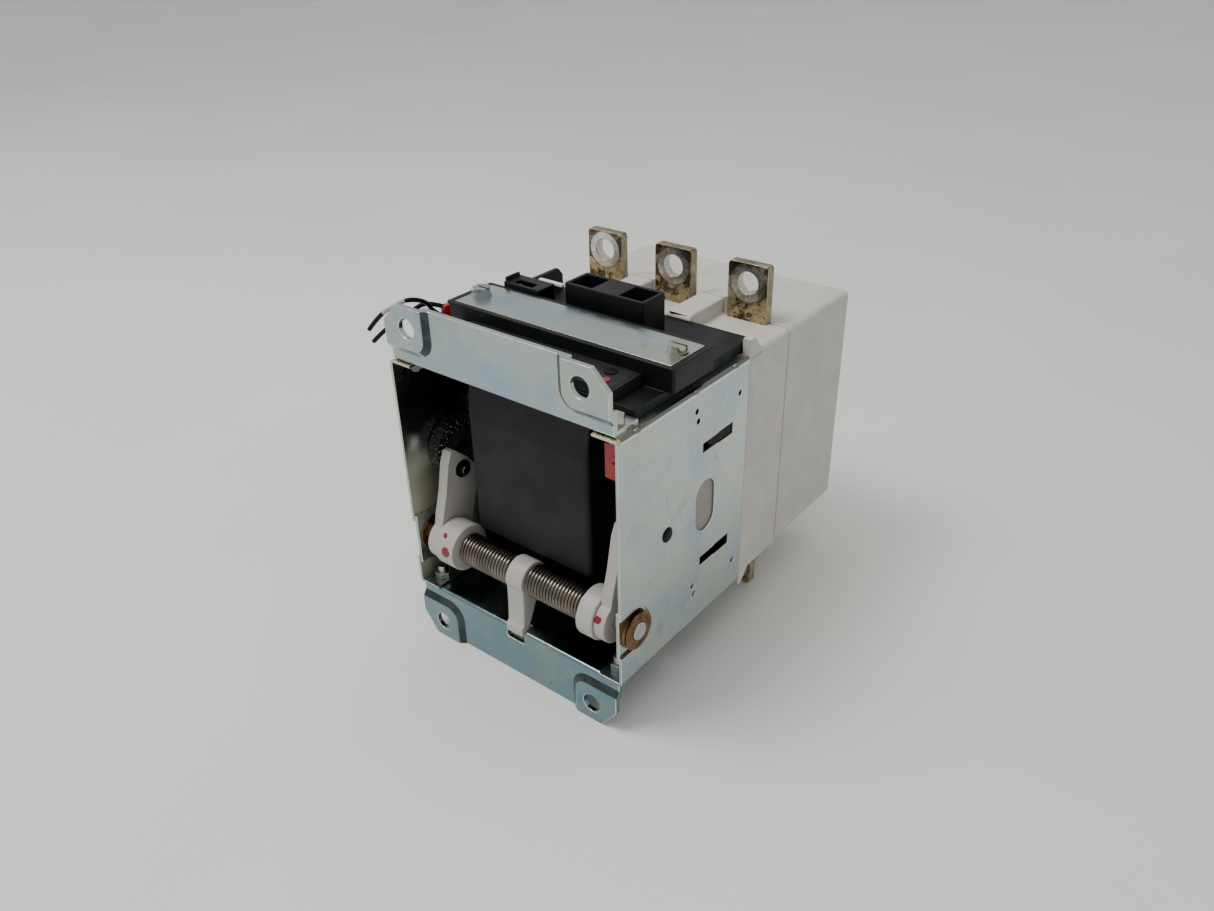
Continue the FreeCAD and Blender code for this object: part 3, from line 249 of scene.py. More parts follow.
def tabs_and_painted_bend_light(s, colour):
    """Golden tabs at the front of the flanges, a painted dark reflection band and a painted highlight line
    along the plates' top bends, and painted shade under the upper flanges.
    """
    across = s.maths("ABSOLUTE", s.height("X"))
    tab = s.both(s.between(across, TAB_IN, TAB_IN + 0.001),
                 s.between(s.height("Y"), TAB_FRONT, TAB_FRONT + 0.003, 1.0, 0.0),
                 s.above(s.height("Z"), TAB_LOW), s.below(s.height("Z"), TAB_HIGH))
    colour = s.mixed(s.both(tab, 0.8), colour, (0.62, 0.58, 0.33))
    edge = s.both(s.above(across, PLATE_OUTSIDE), s.above(s.height("Y"), BEND_FRONT))
    # Painted dark reflection along the curve of each plate's top bend.
    bend = s.both(edge, s.between(s.height("Z"), BEND_LOW, BEND_HIGH))
    colour = s.mixed(s.both(bend, 0.8), colour, (0.13, 0.12, 0.10))
    # Painted highlight line just below the bend.
    line = s.both(edge, s.between(s.height("Z"), *LINE_LOW), s.between(s.height("Z"), *LINE_HIGH, 1, 0))
    colour = s.mixed(s.both(line, 0.7), colour, (0.86, 0.86, 0.80))
    # Painted shade on the fasteners and faces under the upper flanges, near the front.
    under = s.both(s.below(across, FLANGE_INSIDE), s.below(s.height("Z"), FLANGE_UNDER),
                   s.above(s.height("Z"), UPPER_HALF), s.below(s.height("Y"), FLANGE_FRONT))
    return s.mixed(s.both(under, 0.8), colour, (0.07, 0.07, 0.06))


def zinc(name, base, warm, cool, rough=0.20):
    """Bright zinc plate with rolled grain and fine scratches, and painted shade and painted highlights that
    change with the place.
    """
    s = Shade(name, Metallic=1.0)
    facing = s.add("SeparateXYZ", Vector=s.facing).outputs
    inner = left_inside(s, facing)
    colour = tabs_and_painted_bend_light(s, painted_place_shade(s, clouded(s, base, warm, cool), facing, inner))
    grain = s.noise(900, 2, 0.6, vector=s.stretched(1, 1, 0.06))
    scratch = s.between(s.noise(240, 1, 0.4, 1.2, vector=s.stretched(1, 0.10, 1.3)), 0.74, 0.77)
    scuff = s.between(s.noise(260, 1, 0.4, 1.4, vector=s.stretched(1.3, 1.2, 0.12)), 0.745, 0.775)
    marks = s.maths("MAXIMUM", scratch, scuff)
    colour = s.mixed(s.both(marks, 0.28), colour, (0.40, 0.42, 0.42))
    roughness = s.between(s.noise(30, 5, 0.65, 0.6), 0.34, 0.66, rough - 0.05, rough + 0.09)
    roughness = s.maths("ADD", roughness, s.both(marks, 0.12))
    roughness = s.maths("ADD", roughness, s.both(inner, 0.30))
    normal = s.bump(grain, 0.00001, 0.25)
    normal = s.bump(s.noise(14, 2, 0.5), 0.0008, 0.10, normal)
    return s.finish(Base_Color=colour, Roughness=roughness, Normal=normal)


def drawn_wire():
    """Smooth oil-tempered spring wire, dark with a golden cast."""
    s = Shade("spring_steel", Metallic=1.0)
    tone = s.mixed(s.between(s.noise(90, 3, 0.6), 0.38, 0.62), (0.21, 0.19, 0.155), (0.15, 0.134, 0.108))
    roughness = s.between(s.noise(160, 3, 0.6), 0.3, 0.7, 0.20, 0.28)
    return s.finish(Base_Color=tone, Roughness=roughness, Normal=s.bump(s.noise(1500, 2, 0.5), 0.000004, 0.3))


def plastic(name, colour, dusty, rough, **constants):
    """Moulded plastic: fine matt texture, faint mottling and a little dust or handling wear."""
    s = Shade(name, **constants)
    patches = s.between(s.noise(35, 5, 0.65, 0.3), 0.42, 0.72)
    flecks = s.between(s.noise(380, 3, 0.6), 0.60, 0.72)
    tone = s.mixed(s.both(patches, 0.35), colour, dusty)
    tone = s.mixed(s.both(flecks, 0.175), tone, dusty)
    roughness = s.between(s.noise(60, 4, 0.6), 0.3, 0.7, rough - 0.06, rough + 0.08)
    normal = s.bump(s.noise(700, 3, 0.6), 0.00003, 0.5)
    return s.finish(Base_Color=tone, Roughness=roughness, Normal=normal)


def turned_metal(name, colour, stain, rough, axis="X", rings=2600):
    """Turned or drawn metal with fine rings along one axis and light staining."""
    s = Shade(name, Metallic=1.0)
    along = s.height(axis)
    ring = s.maths("SINE", s.both(along, rings * 2 * math.pi))
    blotch = s.between(s.noise(180, 4, 0.6, 0.4), 0.42, 0.66)
    tone = s.mixed(blotch, colour, stain)
    roughness = s.between(s.noise(240, 3, 0.6), 0.3, 0.7, rough - 0.06, rough + 0.10)
    return s.finish(Base_Color=tone, Roughness=roughness, Normal=s.bump(ring, 0.00003, 0.25))


BLADE_PITCH, BLADE_HALF = 0.0493, 0.0125
HOLE_HIGH, LOW_HOLE_HIGH, BLADE_TOP = 0.1980, 0.0113, 0.2093
WASHER_RADIUS, TURNING = 0.0104, 7800


def tarnished_bar():
    """Silvered copper bar: brown-black tarnish, golden islands low down, washer prints and bare edges."""
    s = Shade("tarnished_bar", Metallic=1.0)
    upright = s.height("Z")
    across = s.add("Math", {"operation": "WRAP"}, Value=s.height("X"))
    across.inputs[1].default_value, across.inputs[2].default_value = BLADE_PITCH / 2, -BLADE_PITCH / 2
    across = across.outputs["Value"]
    low_part = s.maths("LESS_THAN", upright, 0.08)
    hole = s.maths("ADD", s.both(low_part, LOW_HOLE_HIGH - HOLE_HIGH), HOLE_HIGH)
    rise = s.maths("SUBTRACT", upright, hole)
    reach = s.hypotenuse(across, rise)
    ragged = s.noise(120, 6, 0.65, 0.8)
    fine = s.noise(520, 4, 0.6, 0.4)
    high = s.between(upright, 0.180, 0.205)
    islands = s.between(s.maths("SUBTRACT", ragged, s.both(high, 0.10)), 0.43, 0.49)
    brown = s.mixed(s.between(fine, 0.35, 0.65), (0.055, 0.038, 0.020), (0.17, 0.12, 0.065))
    gold = s.mixed(s.between(fine, 0.40, 0.60), (0.50, 0.42, 0.25), (0.36, 0.27, 0.14))
    colour = s.mixed(islands, brown, gold)
    bare = s.between(s.noise(260, 5, 0.7, 1.0), 0.56, 0.66)
    colour = s.mixed(s.both(bare, 0.5), colour, (0.55, 0.52, 0.45))
    rim = s.maths("MAXIMUM", s.between(s.maths("ABSOLUTE", across), BLADE_HALF - 0.0006, BLADE_HALF - 0.0003),
                  s.between(upright, BLADE_TOP - 0.0005, BLADE_TOP - 0.0003))
    colour = s.mixed(s.both(rim, 0.45), colour, (0.46, 0.41, 0.28))
    wobble = s.both(s.maths("SUBTRACT", ragged, 0.5), 0.0022)
    print_edge = s.maths("ADD", reach, wobble)
    washer = s.between(print_edge, WASHER_RADIUS, WASHER_RADIUS + 0.0006, 1.0, 0.0)
    bright = s.mixed(s.between(fine, 0.35, 0.65), (0.72, 0.71, 0.67), (0.54, 0.52, 0.47))
    colour = s.mixed(s.both(washer, 0.88), colour, bright)
    turned = s.both(s.maths("SINE", s.both(reach, TURNING)), washer)
    outline = s.both(s.between(print_edge, WASHER_RADIUS, WASHER_RADIUS + 0.0006),
                     s.between(print_edge, WASHER_RADIUS + 0.0008, WASHER_RADIUS + 0.0014, 1, 0))
    colour = s.mixed(s.both(outline, 0.6), colour, (0.16, 0.13, 0.09))
    roughness = s.maths("SUBTRACT", s.between(ragged, 0.35, 0.62, 0.34, 0.48), s.both(washer, 0.12))
    normal = s.bump(fine, 0.00004, 0.5)
    normal = s.bump(turned, 0.00002, 0.5, normal)
    return s.finish(Base_Color=colour, Roughness=roughness, Normal=normal)


def pale_moulding():
    """Warm grey glass-filled moulding: faint fibre mottling, soft stains and fine grit."""
    s = Shade("pale_moulding", Specular_IOR_Level=0.4)
    mottle = s.between(s.noise(60, 6, 0.7, 0.5), 0.35, 0.68)
    colour = s.mixed(mottle, (0.485, 0.464, 0.418), (0.535, 0.516, 0.472))
    stain = s.between(s.noise(16, 5, 0.6, 1.4), 0.56, 0.74)
    colour = s.mixed(s.both(stain, 0.35), colour, (0.46, 0.41, 0.32))
    specks = s.between(s.noise(700, 2, 0.5), 0.69, 0.75)
    colour = s.mixed(s.both(specks, 0.4), colour, (0.30, 0.28, 0.25))
    roughness = s.between(s.noise(90, 4, 0.6), 0.3, 0.7, 0.46, 0.60)
    normal = s.bump(s.noise(900, 3, 0.6), 0.00003, 0.4)
    normal = s.bump(s.noise(40, 3, 0.5), 0.0004, 0.10, normal)
    return s.finish(Base_Color=colour, Roughness=roughness, Normal=normal)


# Each dab as its place and size.
PAINT_DABS = [((-0.0485, -0.1120, 0.0640), 0.0056), ((-0.0515, -0.1085, 0.0722), 0.0026),
              ((0.0594, -0.1101, 0.0674), 0.0038), ((0.0575, -0.1085, 0.0735), 0.0024)]


def marked_nylon():
    """White nylon, slightly grey and handled, with the paint dabs that seal the springs' setting."""
    s = Shade("white_nylon", Subsurface_Weight=0.04, Subsurface_Scale=0.002)
    patches = s.between(s.noise(40, 5, 0.65, 0.3), 0.42, 0.72)
    tone = s.mixed(s.both(patches, 0.4), (0.435, 0.418, 0.388), (0.365, 0.342, 0.314))
    grime = s.between(s.noise(150, 5, 0.7, 0.8), 0.62, 0.74)
    tone = s.mixed(s.both(grime, 0.25), tone, (0.30, 0.26, 0.24))
    for place, radius in PAINT_DABS:
        tone = s.mixed(s.spot(place, radius, radius * 0.9, 600), tone, (0.22, 0.002, 0.016))
    roughness = s.between(s.noise(70, 4, 0.6), 0.3, 0.7, 0.34, 0.48)
    normal = s.bump(s.noise(500, 3, 0.6), 0.00002, 0.4)
    return s.finish(Base_Color=tone, Roughness=roughness, Normal=normal)


SLEEVE_AT, SLEEVE_REACH = (-0.0775, -0.1020, 0.2010), 0.0085


def sleeved_insulation():
    """Glossy black insulation, with the pale sleeve over the middle of the upper lead."""
    s = Shade("lead_insulation", Specular_IOR_Level=0.1)
    tone = s.mixed(s.between(s.noise(200, 4, 0.6), 0.4, 0.7), (0.0035, 0.004, 0.005), (0.010, 0.010, 0.011))
    sleeve = s.between(s.distance(*SLEEVE_AT), SLEEVE_REACH - 0.0002, SLEEVE_REACH, 1.0, 0.0)
    pale = s.mixed(s.between(s.noise(300, 4, 0.6), 0.4, 0.6), (0.50, 0.50, 0.48), (0.36, 0.36, 0.34))
    tone = s.mixed(sleeve, tone, pale)
    roughness = s.between(s.noise(150, 3, 0.6), 0.3, 0.7, 0.22, 0.32)
    return s.finish(Base_Color=tone, Roughness=roughness, Normal=s.bump(s.noise(600, 3, 0.6), 0.00002, 0.4))


def plain_edge(name, colour, stain, rough):
    """Smooth metal with stains along it: the bare edge of a sheet part or, made dark, the painted shade on a
    pressed fold.
    """
    s = Shade(name, Metallic=1.0)
    tone = s.mixed(s.between(s.noise(70, 5, 0.65, 0.6), 0.42, 0.62), colour, stain)
    roughness = s.between(s.noise(90, 4, 0.6), 0.3, 0.7, rough - 0.04, rough + 0.08)
    return s.finish(Base_Color=tone, Roughness=roughness, Normal=s.bump(s.noise(400, 3, 0.6), 0.000005, 0.3))


DISC_BACK, DISC_HIGH, DISC_MIDDLE = -0.0780, 0.1115, 0.0098


def disc_moulding():
    """Black moulding that turns smooth and grey-green towards the middle of the disc."""
    s = Shade("black_disc", Specular_IOR_Level=0.3)
    y = s.maths("SUBTRACT", s.height("Y"), DISC_BACK)
    z = s.maths("SUBTRACT", s.height("Z"), DISC_HIGH)
    reach = s.hypotenuse(y, z)
    middle = s.between(reach, DISC_MIDDLE, DISC_MIDDLE + 0.0008, 1.0, 0.0)
    tone = s.mixed(s.between(s.noise(300, 4, 0.6), 0.4, 0.65), (0.003, 0.0035, 0.0035), (0.012, 0.013, 0.012))
    tone = s.mixed(s.both(middle, 0.8), tone, (0.040, 0.050, 0.045))
    roughness = s.maths("SUBTRACT", 0.46, s.both(middle, 0.16))
    return s.finish(Base_Color=tone, Roughness=roughness, Normal=s.bump(s.noise(900, 3, 0.6), 0.00003, 0.5))


ZINC_BASE, ZINC_WARM, ZINC_COOL = (0.485, 0.565, 0.58), (0.58, 0.575, 0.46), (0.36, 0.48, 0.56)
materials = {
    "zinc_sheet": zinc("zinc_sheet", ZINC_BASE, ZINC_WARM, ZINC_COOL),
    "zinc_fastener": zinc("zinc_fastener", (0.46, 0.47, 0.44), (0.54, 0.50, 0.34), (0.38, 0.43, 0.45), 0.20),
    "bronze": turned_metal("bronze", (0.21, 0.115, 0.045), (0.10, 0.055, 0.024), 0.22, "X", 300),
    "ground_steel": turned_metal("ground_steel", (0.50, 0.475, 0.45), (0.40, 0.37, 0.34), 0.34),
    "spring_steel": drawn_wire(),
    "white_nylon": marked_nylon(),
    "black_moulding": plastic("black_moulding", (0.0030, 0.0038, 0.0050), (0.0095, 0.0108, 0.0125), 0.44,
                              Specular_IOR_Level=0.26),
    "black_disc": disc_moulding(),
    "copper_winding": turned_metal("copper_winding", (0.62, 0.30, 0.15), (0.45, 0.20, 0.10), 0.35, "Y", 900),
    "amber_bobbin": plastic("amber_bobbin", (0.30, 0.20, 0.09), (0.40, 0.32, 0.2), 0.4),
    "core_iron": turned_metal("core_iron", (0.30, 0.30, 0.31), (0.20, 0.18, 0.16), 0.5, "Z", 700),
    "brown_moulding": plastic("brown_moulding", (0.10, 0.06, 0.035), (0.18, 0.13, 0.10), 0.5),
    "tarnished_bar": tarnished_bar(),
    "pale_moulding": pale_moulding(),
    "tube_ceramic": plastic("tube_ceramic", (0.70, 0.69, 0.66), (0.6, 0.58, 0.54), 0.25),
    "red_plastic": plastic("red_plastic", (0.36, 0.006, 0.016), (0.22, 0.02, 0.03), 0.32),
    "dark_panel": plastic("dark_panel", (0.012, 0.012, 0.0125), (0.030, 0.030, 0.030), 0.50,
                          Specular_IOR_Level=0.3),
    "lead_insulation": sleeved_insulation(),
}
slot_of = {part["node"]: part["material_slot"] for part in frame["record"]["subparts"]}
for name, node in nodes.items():
    node.data.materials.clear()
    node.data.materials.append(materials[slot_of[name]])
# Bare edges of the sheet parts, a finish that only their eased edges take, and painted shade on the slopes of
# a pressed fold.
edge_zinc = plain_edge("zinc_edge", (0.80, 0.78, 0.68), (0.66, 0.60, 0.42), 0.22)
edge_bar = plain_edge("bar_edge", (0.52, 0.47, 0.34), (0.20, 0.15, 0.08), 0.30)
fold_painted_shade = plain_edge("zinc_fold_painted_shade", (0.07, 0.09, 0.095), (0.045, 0.06, 0.06), 0.30)
edge_finish = {"zinc_sheet": edge_zinc, "tarnished_bar": edge_bar}


# ---------------------------------------------------------------- pieces

def body_of(node):
    return next(body for body, members in frame["record"]["behaviour"]["bodies"].items() if node in members)


def new_piece(name, bm, slot, body, node_names=(), smooth=True):
    mesh = bpy.data.meshes.new(name)
    bm.to_mesh(mesh)
    bm.free()
    mesh.materials.append(materials[slot])
    piece = bpy.data.objects.new(name, mesh)
    bpy.context.scene.collection.objects.link(piece)
    if smooth:
        mesh.shade_smooth()
    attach(piece, body)
    if node_names:
        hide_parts(*node_names)
    return piece


def welded(node):
    """A CAD node's mesh with its triangles joined back into flat faces."""
    bm = bmesh.new()
    bm.from_mesh(nodes[node].data)
    bmesh.ops.remove_doubles(bm, verts=bm.verts, dist=2e-6)
    bmesh.ops.dissolve_limit(bm, angle_limit=math.radians(0.6), use_dissolve_boundaries=False, verts=bm.verts,
                             edges=bm.edges)
    return bm


def sharp_edges(bm, angle, test=None):
    limit = math.radians(angle)
    return [edge for edge in bm.edges if len(edge.link_faces) == 2 and edge.calc_face_angle(0) > limit
            and (test is None or test((edge.verts[0].co + edge.verts[1].co) / 2))]


def round_over(bm, edges, width, segments, finish=-1):
    bmesh.ops.bevel(bm, geom=edges, offset=width, offset_type="OFFSET", segments=segments, profile=0.5,
                    affect="EDGES", clamp_overlap=False, material=finish)


EDGE_SLOT, FOLD_SHADE_SLOT = 1, 2


def eased(node, width, wide=(), move=None, fold=None):
    """A copy of a CAD node with eased edges, which stands for that node; wide lists (width, segments, test).

    fold tells the shallow edges of a pressed step, which are rounded last; the sloped faces between them take
    a painted shade.
    """
    bm = welded(node)
    if move:
        for vert in bm.verts:
            vert.co = move(vert.co)
        bm.normal_update()
    slot = slot_of[node]
    for wide_width, segments, test in wide:
        round_over(bm, sharp_edges(bm, 40, test), wide_width, segments)
    round_over(bm, sharp_edges(bm, 40), width, 2, EDGE_SLOT if slot in edge_finish else -1)
    if fold:
        round_over(bm, sharp_edges(bm, 14, fold), FOLD_WIDE, 4)
        # The sloped faces of the fold take a dark finish: painted shade.
        for face in bm.faces:
            c = face.calc_center_median()
            sloped = 0.2 < abs(face.normal.y) < 0.97 and max(abs(face.normal.x), face.normal.z) > 0.25
            if EAR_FACE + FOLD_SHADE_FROM < c.y < EAR_FACE + JOGGLE - 0.0002 and sloped:
                face.material_index = FOLD_SHADE_SLOT
    for layer in list(bm.loops.layers.float_vector.values()):
        bm.loops.layers.float_vector.remove(layer)
    piece = new_piece(node + "_eased", bm, slot, body_of(node), [node])
    if slot in edge_finish:
        piece.data.materials.append(edge_finish[slot])
    if fold:
        piece.data.materials.append(fold_painted_shade)
    for attribute in list(piece.data.attributes):
        if attribute.name == "custom_normal":
            piece.data.attributes.remove(attribute)
    piece.modifiers.new("weigh", "WEIGHTED_NORMAL")
    return piece


EAR_INNER, EAR_TALL, EAR_ROUND = 0.0445, 0.0238, 0.008
EAR_FACE, JOGGLE = -0.1135, 0.003
RAMP_UP, RAMP_DOWN = 0.0010, 0.0032
FOLD_WIDE, FOLD_SHADE_FROM = 0.0008, 0.0012
BRACKET_TOP = 0.2093


def ear_outline(place, edge_level, toward):
    """How far a point lies from the middle line of an ear's rounded inner corner, and which way it points."""
    beside = min(0.0, abs(place.x) - EAR_INNER - EAR_ROUND)
    under = max(0.0, (place.z - edge_level) * toward - EAR_TALL + EAR_ROUND)
    reach = math.hypot(beside, under)
    away = Vector((math.copysign(1, place.x) * beside, 0, under * toward))
    return reach, away / reach if reach else away


def near(a, b):
    return abs(a - b) < 0.0001


def sloped_joggle(edge_level, toward):
    """Slopes the square step round each ear of a bracket, as the press leaves it."""
    def move(place):
        reach, away = ear_outline(place, edge_level, toward)
        if not near(reach, EAR_ROUND):
            return place
        if near(place.y, EAR_FACE):
            return place - away * RAMP_UP
        return place + away * RAMP_DOWN if near(place.y, EAR_FACE + JOGGLE) else place
    return move


def on_joggle(edge_level, toward):
    """Tells the two edges of that slope."""
    def test(c):
        reach = ear_outline(c, edge_level, toward)[0]
        return (near(c.y, EAR_FACE) and abs(reach - EAR_ROUND + RAMP_UP) < 0.0004) or (
            near(c.y, EAR_FACE + JOGGLE) and abs(reach - EAR_ROUND - RAMP_DOWN) < 0.0004)
    return test


SPLIT_AT, SEAM = 0.0416, 0.0008


def open_seam(place):
    """Draws the front housing's rear edge back a little, so that the joint shows as a dark line."""
    return Vector((place.x, place.y - SEAM, place.z)) if place.y > SPLIT_AT - 0.0003 else place


BRACKET_EASE, HOUSING_EASE, RIB_EASE, RIB_FOOT = 0.00035, 0.0003, 0.0009, 0.183
eased("upper_bracket", BRACKET_EASE, (), sloped_joggle(BRACKET_TOP, -1), on_joggle(BRACKET_TOP, -1))
eased("lower_bracket", BRACKET_EASE, (), sloped_joggle(0.0, 1), on_joggle(0.0, 1))
eased("front_housing", HOUSING_EASE, [(RIB_EASE, 3, lambda c: c.z > RIB_FOOT and c.y < SPLIT_AT - 0.001)],
      open_seam)
# Each piece's eased edge, in millimetres.
EASED = {
    "left_side_plate": 0.25, "right_side_plate": 0.25, "clamp_strip": 0.2, "rear_housing": 0.3,
    "top_cover": 0.45, "socket_block": 0.4, "indicator_block": 0.35, "coil_case": 0.8,
    "drive_lever_left": 0.45, "drive_lever_right": 0.45, "spring_collar_left": 0.9,
    "spring_collar_right": 0.9, "spring_fork": 0.8, "front_ledge_panel": 0.3,
    "upper_terminal_1": 0.35, "upper_terminal_2": 0.35, "upper_terminal_3": 0.35,
    "lower_terminal_1": 0.35, "lower_terminal_2": 0.35, "lower_terminal_3": 0.35,
    "auxiliary_switch": 0.4, "auxiliary_switch_cap": 0.4, "coil_terminal": 0.4, "contact_carrier": 0.3,
    "indicator_flag": 0.25, "bearing_retainer_left": 0.3, "bearing_retainer_right": 0.3,
    "anti_bounce_disc": 0.4, "bracket_bolts": 0.25, "drive_shaft": 0.2, "flexible_link_1": 0.2,
    "flexible_link_2": 0.2, "flexible_link_3": 0.2,
}
for name, width in EASED.items():
    eased(name, width * MM)


# ---------------------------------------------------------------- wound springs, bushes, rivets

SHAFT_BACK, SHAFT_HIGH = -0.0990, 0.0620


def lathe(bm, profile, back, high, side=1, segments=56):
    """Turns (x, radius) pairs about an axis along X; side -1 mirrors them to the left."""
    rings = []
    for x, radius in profile:
        if radius == 0:
            rings.append([bm.verts.new((x * side, back, high))])
            continue
        angles = (2 * math.pi * k / segments for k in range(segments))
        rings.append([bm.verts.new((x * side, back + radius * math.cos(a), high + radius * math.sin(a)))
                      for a in angles])
    for first, second in zip(rings, rings[1:]):
        for k in range(segments):
            after = (k + 1) % segments
            corners = [first[k % len(first)], first[after % len(first)], second[after % len(second)],
                       second[k % len(second)]]
            bm.faces.new(list(dict.fromkeys(corners)))


def close(bm):
    bmesh.ops.recalc_face_normals(bm, faces=bm.faces)


COIL_PITCH, COIL_RADIUS, WIRE_RADIUS = 0.00227, 0.00835, 0.00095
STEPS_PER_TURN, WIRE_SIDES = 40, 10


def wound_spring(node, start, end):
    """A close-wound spring: wire on a helix, closed flat at each end."""
    turns = round((end - start) / COIL_PITCH)
    pitch = (end - start - 2 * WIRE_RADIUS) / turns
    steps = turns * STEPS_PER_TURN
    bm = bmesh.new()
    rings = []
    for step in range(steps + 1):
        angle = 2 * math.pi * step / STEPS_PER_TURN
        outward = Vector((0, math.cos(angle), math.sin(angle)))
        centre = Vector((start + WIRE_RADIUS + pitch * step / STEPS_PER_TURN, SHAFT_BACK, SHAFT_HIGH))
        centre += outward * COIL_RADIUS
        ring = []
        for side in range(WIRE_SIDES):
            turn = 2 * math.pi * side / WIRE_SIDES
            offset = outward * math.cos(turn) + Vector((math.sin(turn), 0, 0))
            ring.append(bm.verts.new(centre + offset * WIRE_RADIUS))
        rings.append(ring)
    for first, second in zip(rings, rings[1:]):
        for side in range(WIRE_SIDES):
            after = (side + 1) % WIRE_SIDES
            bm.faces.new((first[side], first[after], second[after], second[side]))
    bm.faces.new(rings[0])
    bm.faces.new(rings[-1])
    close(bm)
    new_piece(node + "_wound", bm, slot_of[node], body_of(node), [node])


wound_spring("torsion_spring_left", -0.0427, -0.0063)
wound_spring("torsion_spring_right", 0.0063, 0.0462)


def turned_bush(side_name, side, outer):
    """A bronze bush: a rounded rim with a turned groove, a ring groove in its face, a chamfered bore."""
    profile = [(71.0, 5.05), (71.0, 10.3), (71.3, 10.6), (outer - 1.5, 10.6), (outer - 1.3, 9.9),
               (outer - 0.7, 9.9), (outer - 0.5, 10.6), (outer - 0.25, 10.5), (outer, 10.1), (outer, 7.9),
               (outer - 0.35, 7.6), (outer - 0.35, 7.2), (outer - 0.05, 6.9), (outer - 0.05, 5.5),
               (outer - 0.45, 5.05), (71.0, 5.05)]
    bm = bmesh.new()
    lathe(bm, [(x * MM, r * MM) for x, r in profile], SHAFT_BACK, SHAFT_HIGH, side, 72)
    bmesh.ops.remove_doubles(bm, verts=bm.verts, dist=1e-6)
    close(bm)
    new_piece(f"turned_bush_{side_name}", bm, "bronze", "frame", [f"shaft_bush_{side_name}"], smooth=False)


turned_bush("left", -1, 75.5)
turned_bush("right", 1, 77.3)

RIVET_BACK, RIVET_HIGH = -0.0723, 0.1048
RIVET_PROFILE = [(73.2, 0), (73.2, 2.95), (75.0, 2.95), (75.0, 4.2), (75.2, 4.2), (75.55, 3.75), (75.8, 3.0),
                 (75.95, 2.0), (76.0, 1.0), (76.0, 0)]
bm = bmesh.new()
for side in (-1, 1):
    lathe(bm, [(x * MM, r * MM) for x, r in RIVET_PROFILE], RIVET_BACK, RIVET_HIGH, side, 40)
close(bm)
new_piece("domed_rivets", bm, "lead_insulation", "frame", ["plate_rivets"])


# ---------------------------------------------------------------- small details

def slab(bm, x, y, z):
    """A block between low and high limits, in millimetres, Y counted in frame coordinates."""
    middle = Vector(((x[0] + x[1]) / 2, (y[0] + y[1]) / 2, (z[0] + z[1]) / 2)) * MM
    made = bmesh.ops.create_cube(bm, size=1, matrix=Matrix.Translation(middle) @ Matrix.Diagonal(
        (abs(x[1] - x[0]) * MM, abs(y[1] - y[0]) * MM, abs(z[1] - z[0]) * MM, 1)))
    return made["verts"]


def slab_piece(name, slot, blocks, ease_mm, body="frame"):
    bm = bmesh.new()
    for block in blocks:
        slab(bm, *block)
    round_over(bm, list(bm.edges), ease_mm * MM, 2)
    piece = new_piece(name, bm, slot, body)
    piece.modifiers.new("weigh", "WEIGHTED_NORMAL")


slab_piece("status_lever", "tube_ceramic", [((-50.8, -33.5), (-20.6, -18.0), (195.3, 197.2))], 0.5)
slab_piece("ledge_lines", "dark_panel", [((-55.0, 55.0), (-73.6, -72.9), (187.3, 187.7)),
                                         ((-55.0, 55.0), (-76.4, -75.9), (187.3, 187.6)),
                                         ((-55.0, 55.0), (-89.4, -88.7), (187.3, 187.7)),
                                         ((54.3, 55.0), (-88.7, -73.6), (187.3, 187.7))], 0.12)
slab_piece("cap_windows", "black_moulding", [((57.0, 70.5), (-93.15, -92.7), (149.6, 150.9)),
                                             ((58.5, 69.5), (-93.15, -92.7), (153.4, 155.6)),
                                             ((60.0, 70.0), (-93.15, -92.7), (144.0, 145.6))], 0.1)


def plate_bumps():
    """The pressed ribs across the right plate's top bend and their mirror images on the left."""
    bm = bmesh.new()
    for side in (-1, 1):
        for back in (-95.9, -48.5, -12.4):
            shape = (Matrix.Translation((side * 74.2 * MM, back * MM, 175.0 * MM))
                     @ Matrix.Diagonal((1.7 * MM, 3.0 * MM, 1.5 * MM, 1)))
            bmesh.ops.create_uvsphere(bm, u_segments=20, v_segments=12, radius=1, matrix=shape)
    new_piece("plate_bumps", bm, "zinc_sheet", "frame")


def disc_dots():
    """Pimples scattered in rows over the disc's inner face and rim."""
    bm = bmesh.new()
    chance = random.Random(7)
    face_x, rim, rise = -0.06542, 0.01748, 0.00015
    circles = ((0.0112, 15), (0.0124, 19), (0.0137, 21), (0.0150, 24), (0.0163, 26))
    rows = [(face_x, radius, count, 0) for radius, count in circles]
    rows += [(x, rim, 20, 1) for x in (-0.0668, -0.0684, -0.0700, -0.0716)]
    for x, radius, count, on_rim in rows:
        for k in range(count):
            angle = 2 * math.pi * (k + chance.uniform(-0.35, 0.35)) / count
            dot = chance.uniform(0.00016, 0.00026) if on_rim else chance.uniform(0.00024, 0.00046)
            jitter = chance.uniform(-0.0004, 0.0004)
            reach = radius + jitter * (1 - on_rim)
            at = Vector((x + jitter * on_rim, DISC_BACK + reach * math.cos(angle),
                         DISC_HIGH + reach * math.sin(angle)))
            shape = Matrix.Diagonal((dot, rise, dot, 1) if on_rim else (rise, dot, dot, 1))
            bmesh.ops.create_icosphere(bm, subdivisions=1, radius=1, matrix=Matrix.Translation(at)
                                       @ Matrix.Rotation(angle, 4, "X") @ shape)
    new_piece("disc_dots", bm, "tube_ceramic", "disc")


WINDOW_BACK, WINDOW_HIGH, WINDOW_HALF, WINDOW_STRAIGHT = -0.0382, 0.1048, 0.0084, 0.0066
PANEL_OUT, PANEL_IN = 0.0738, 0.0734


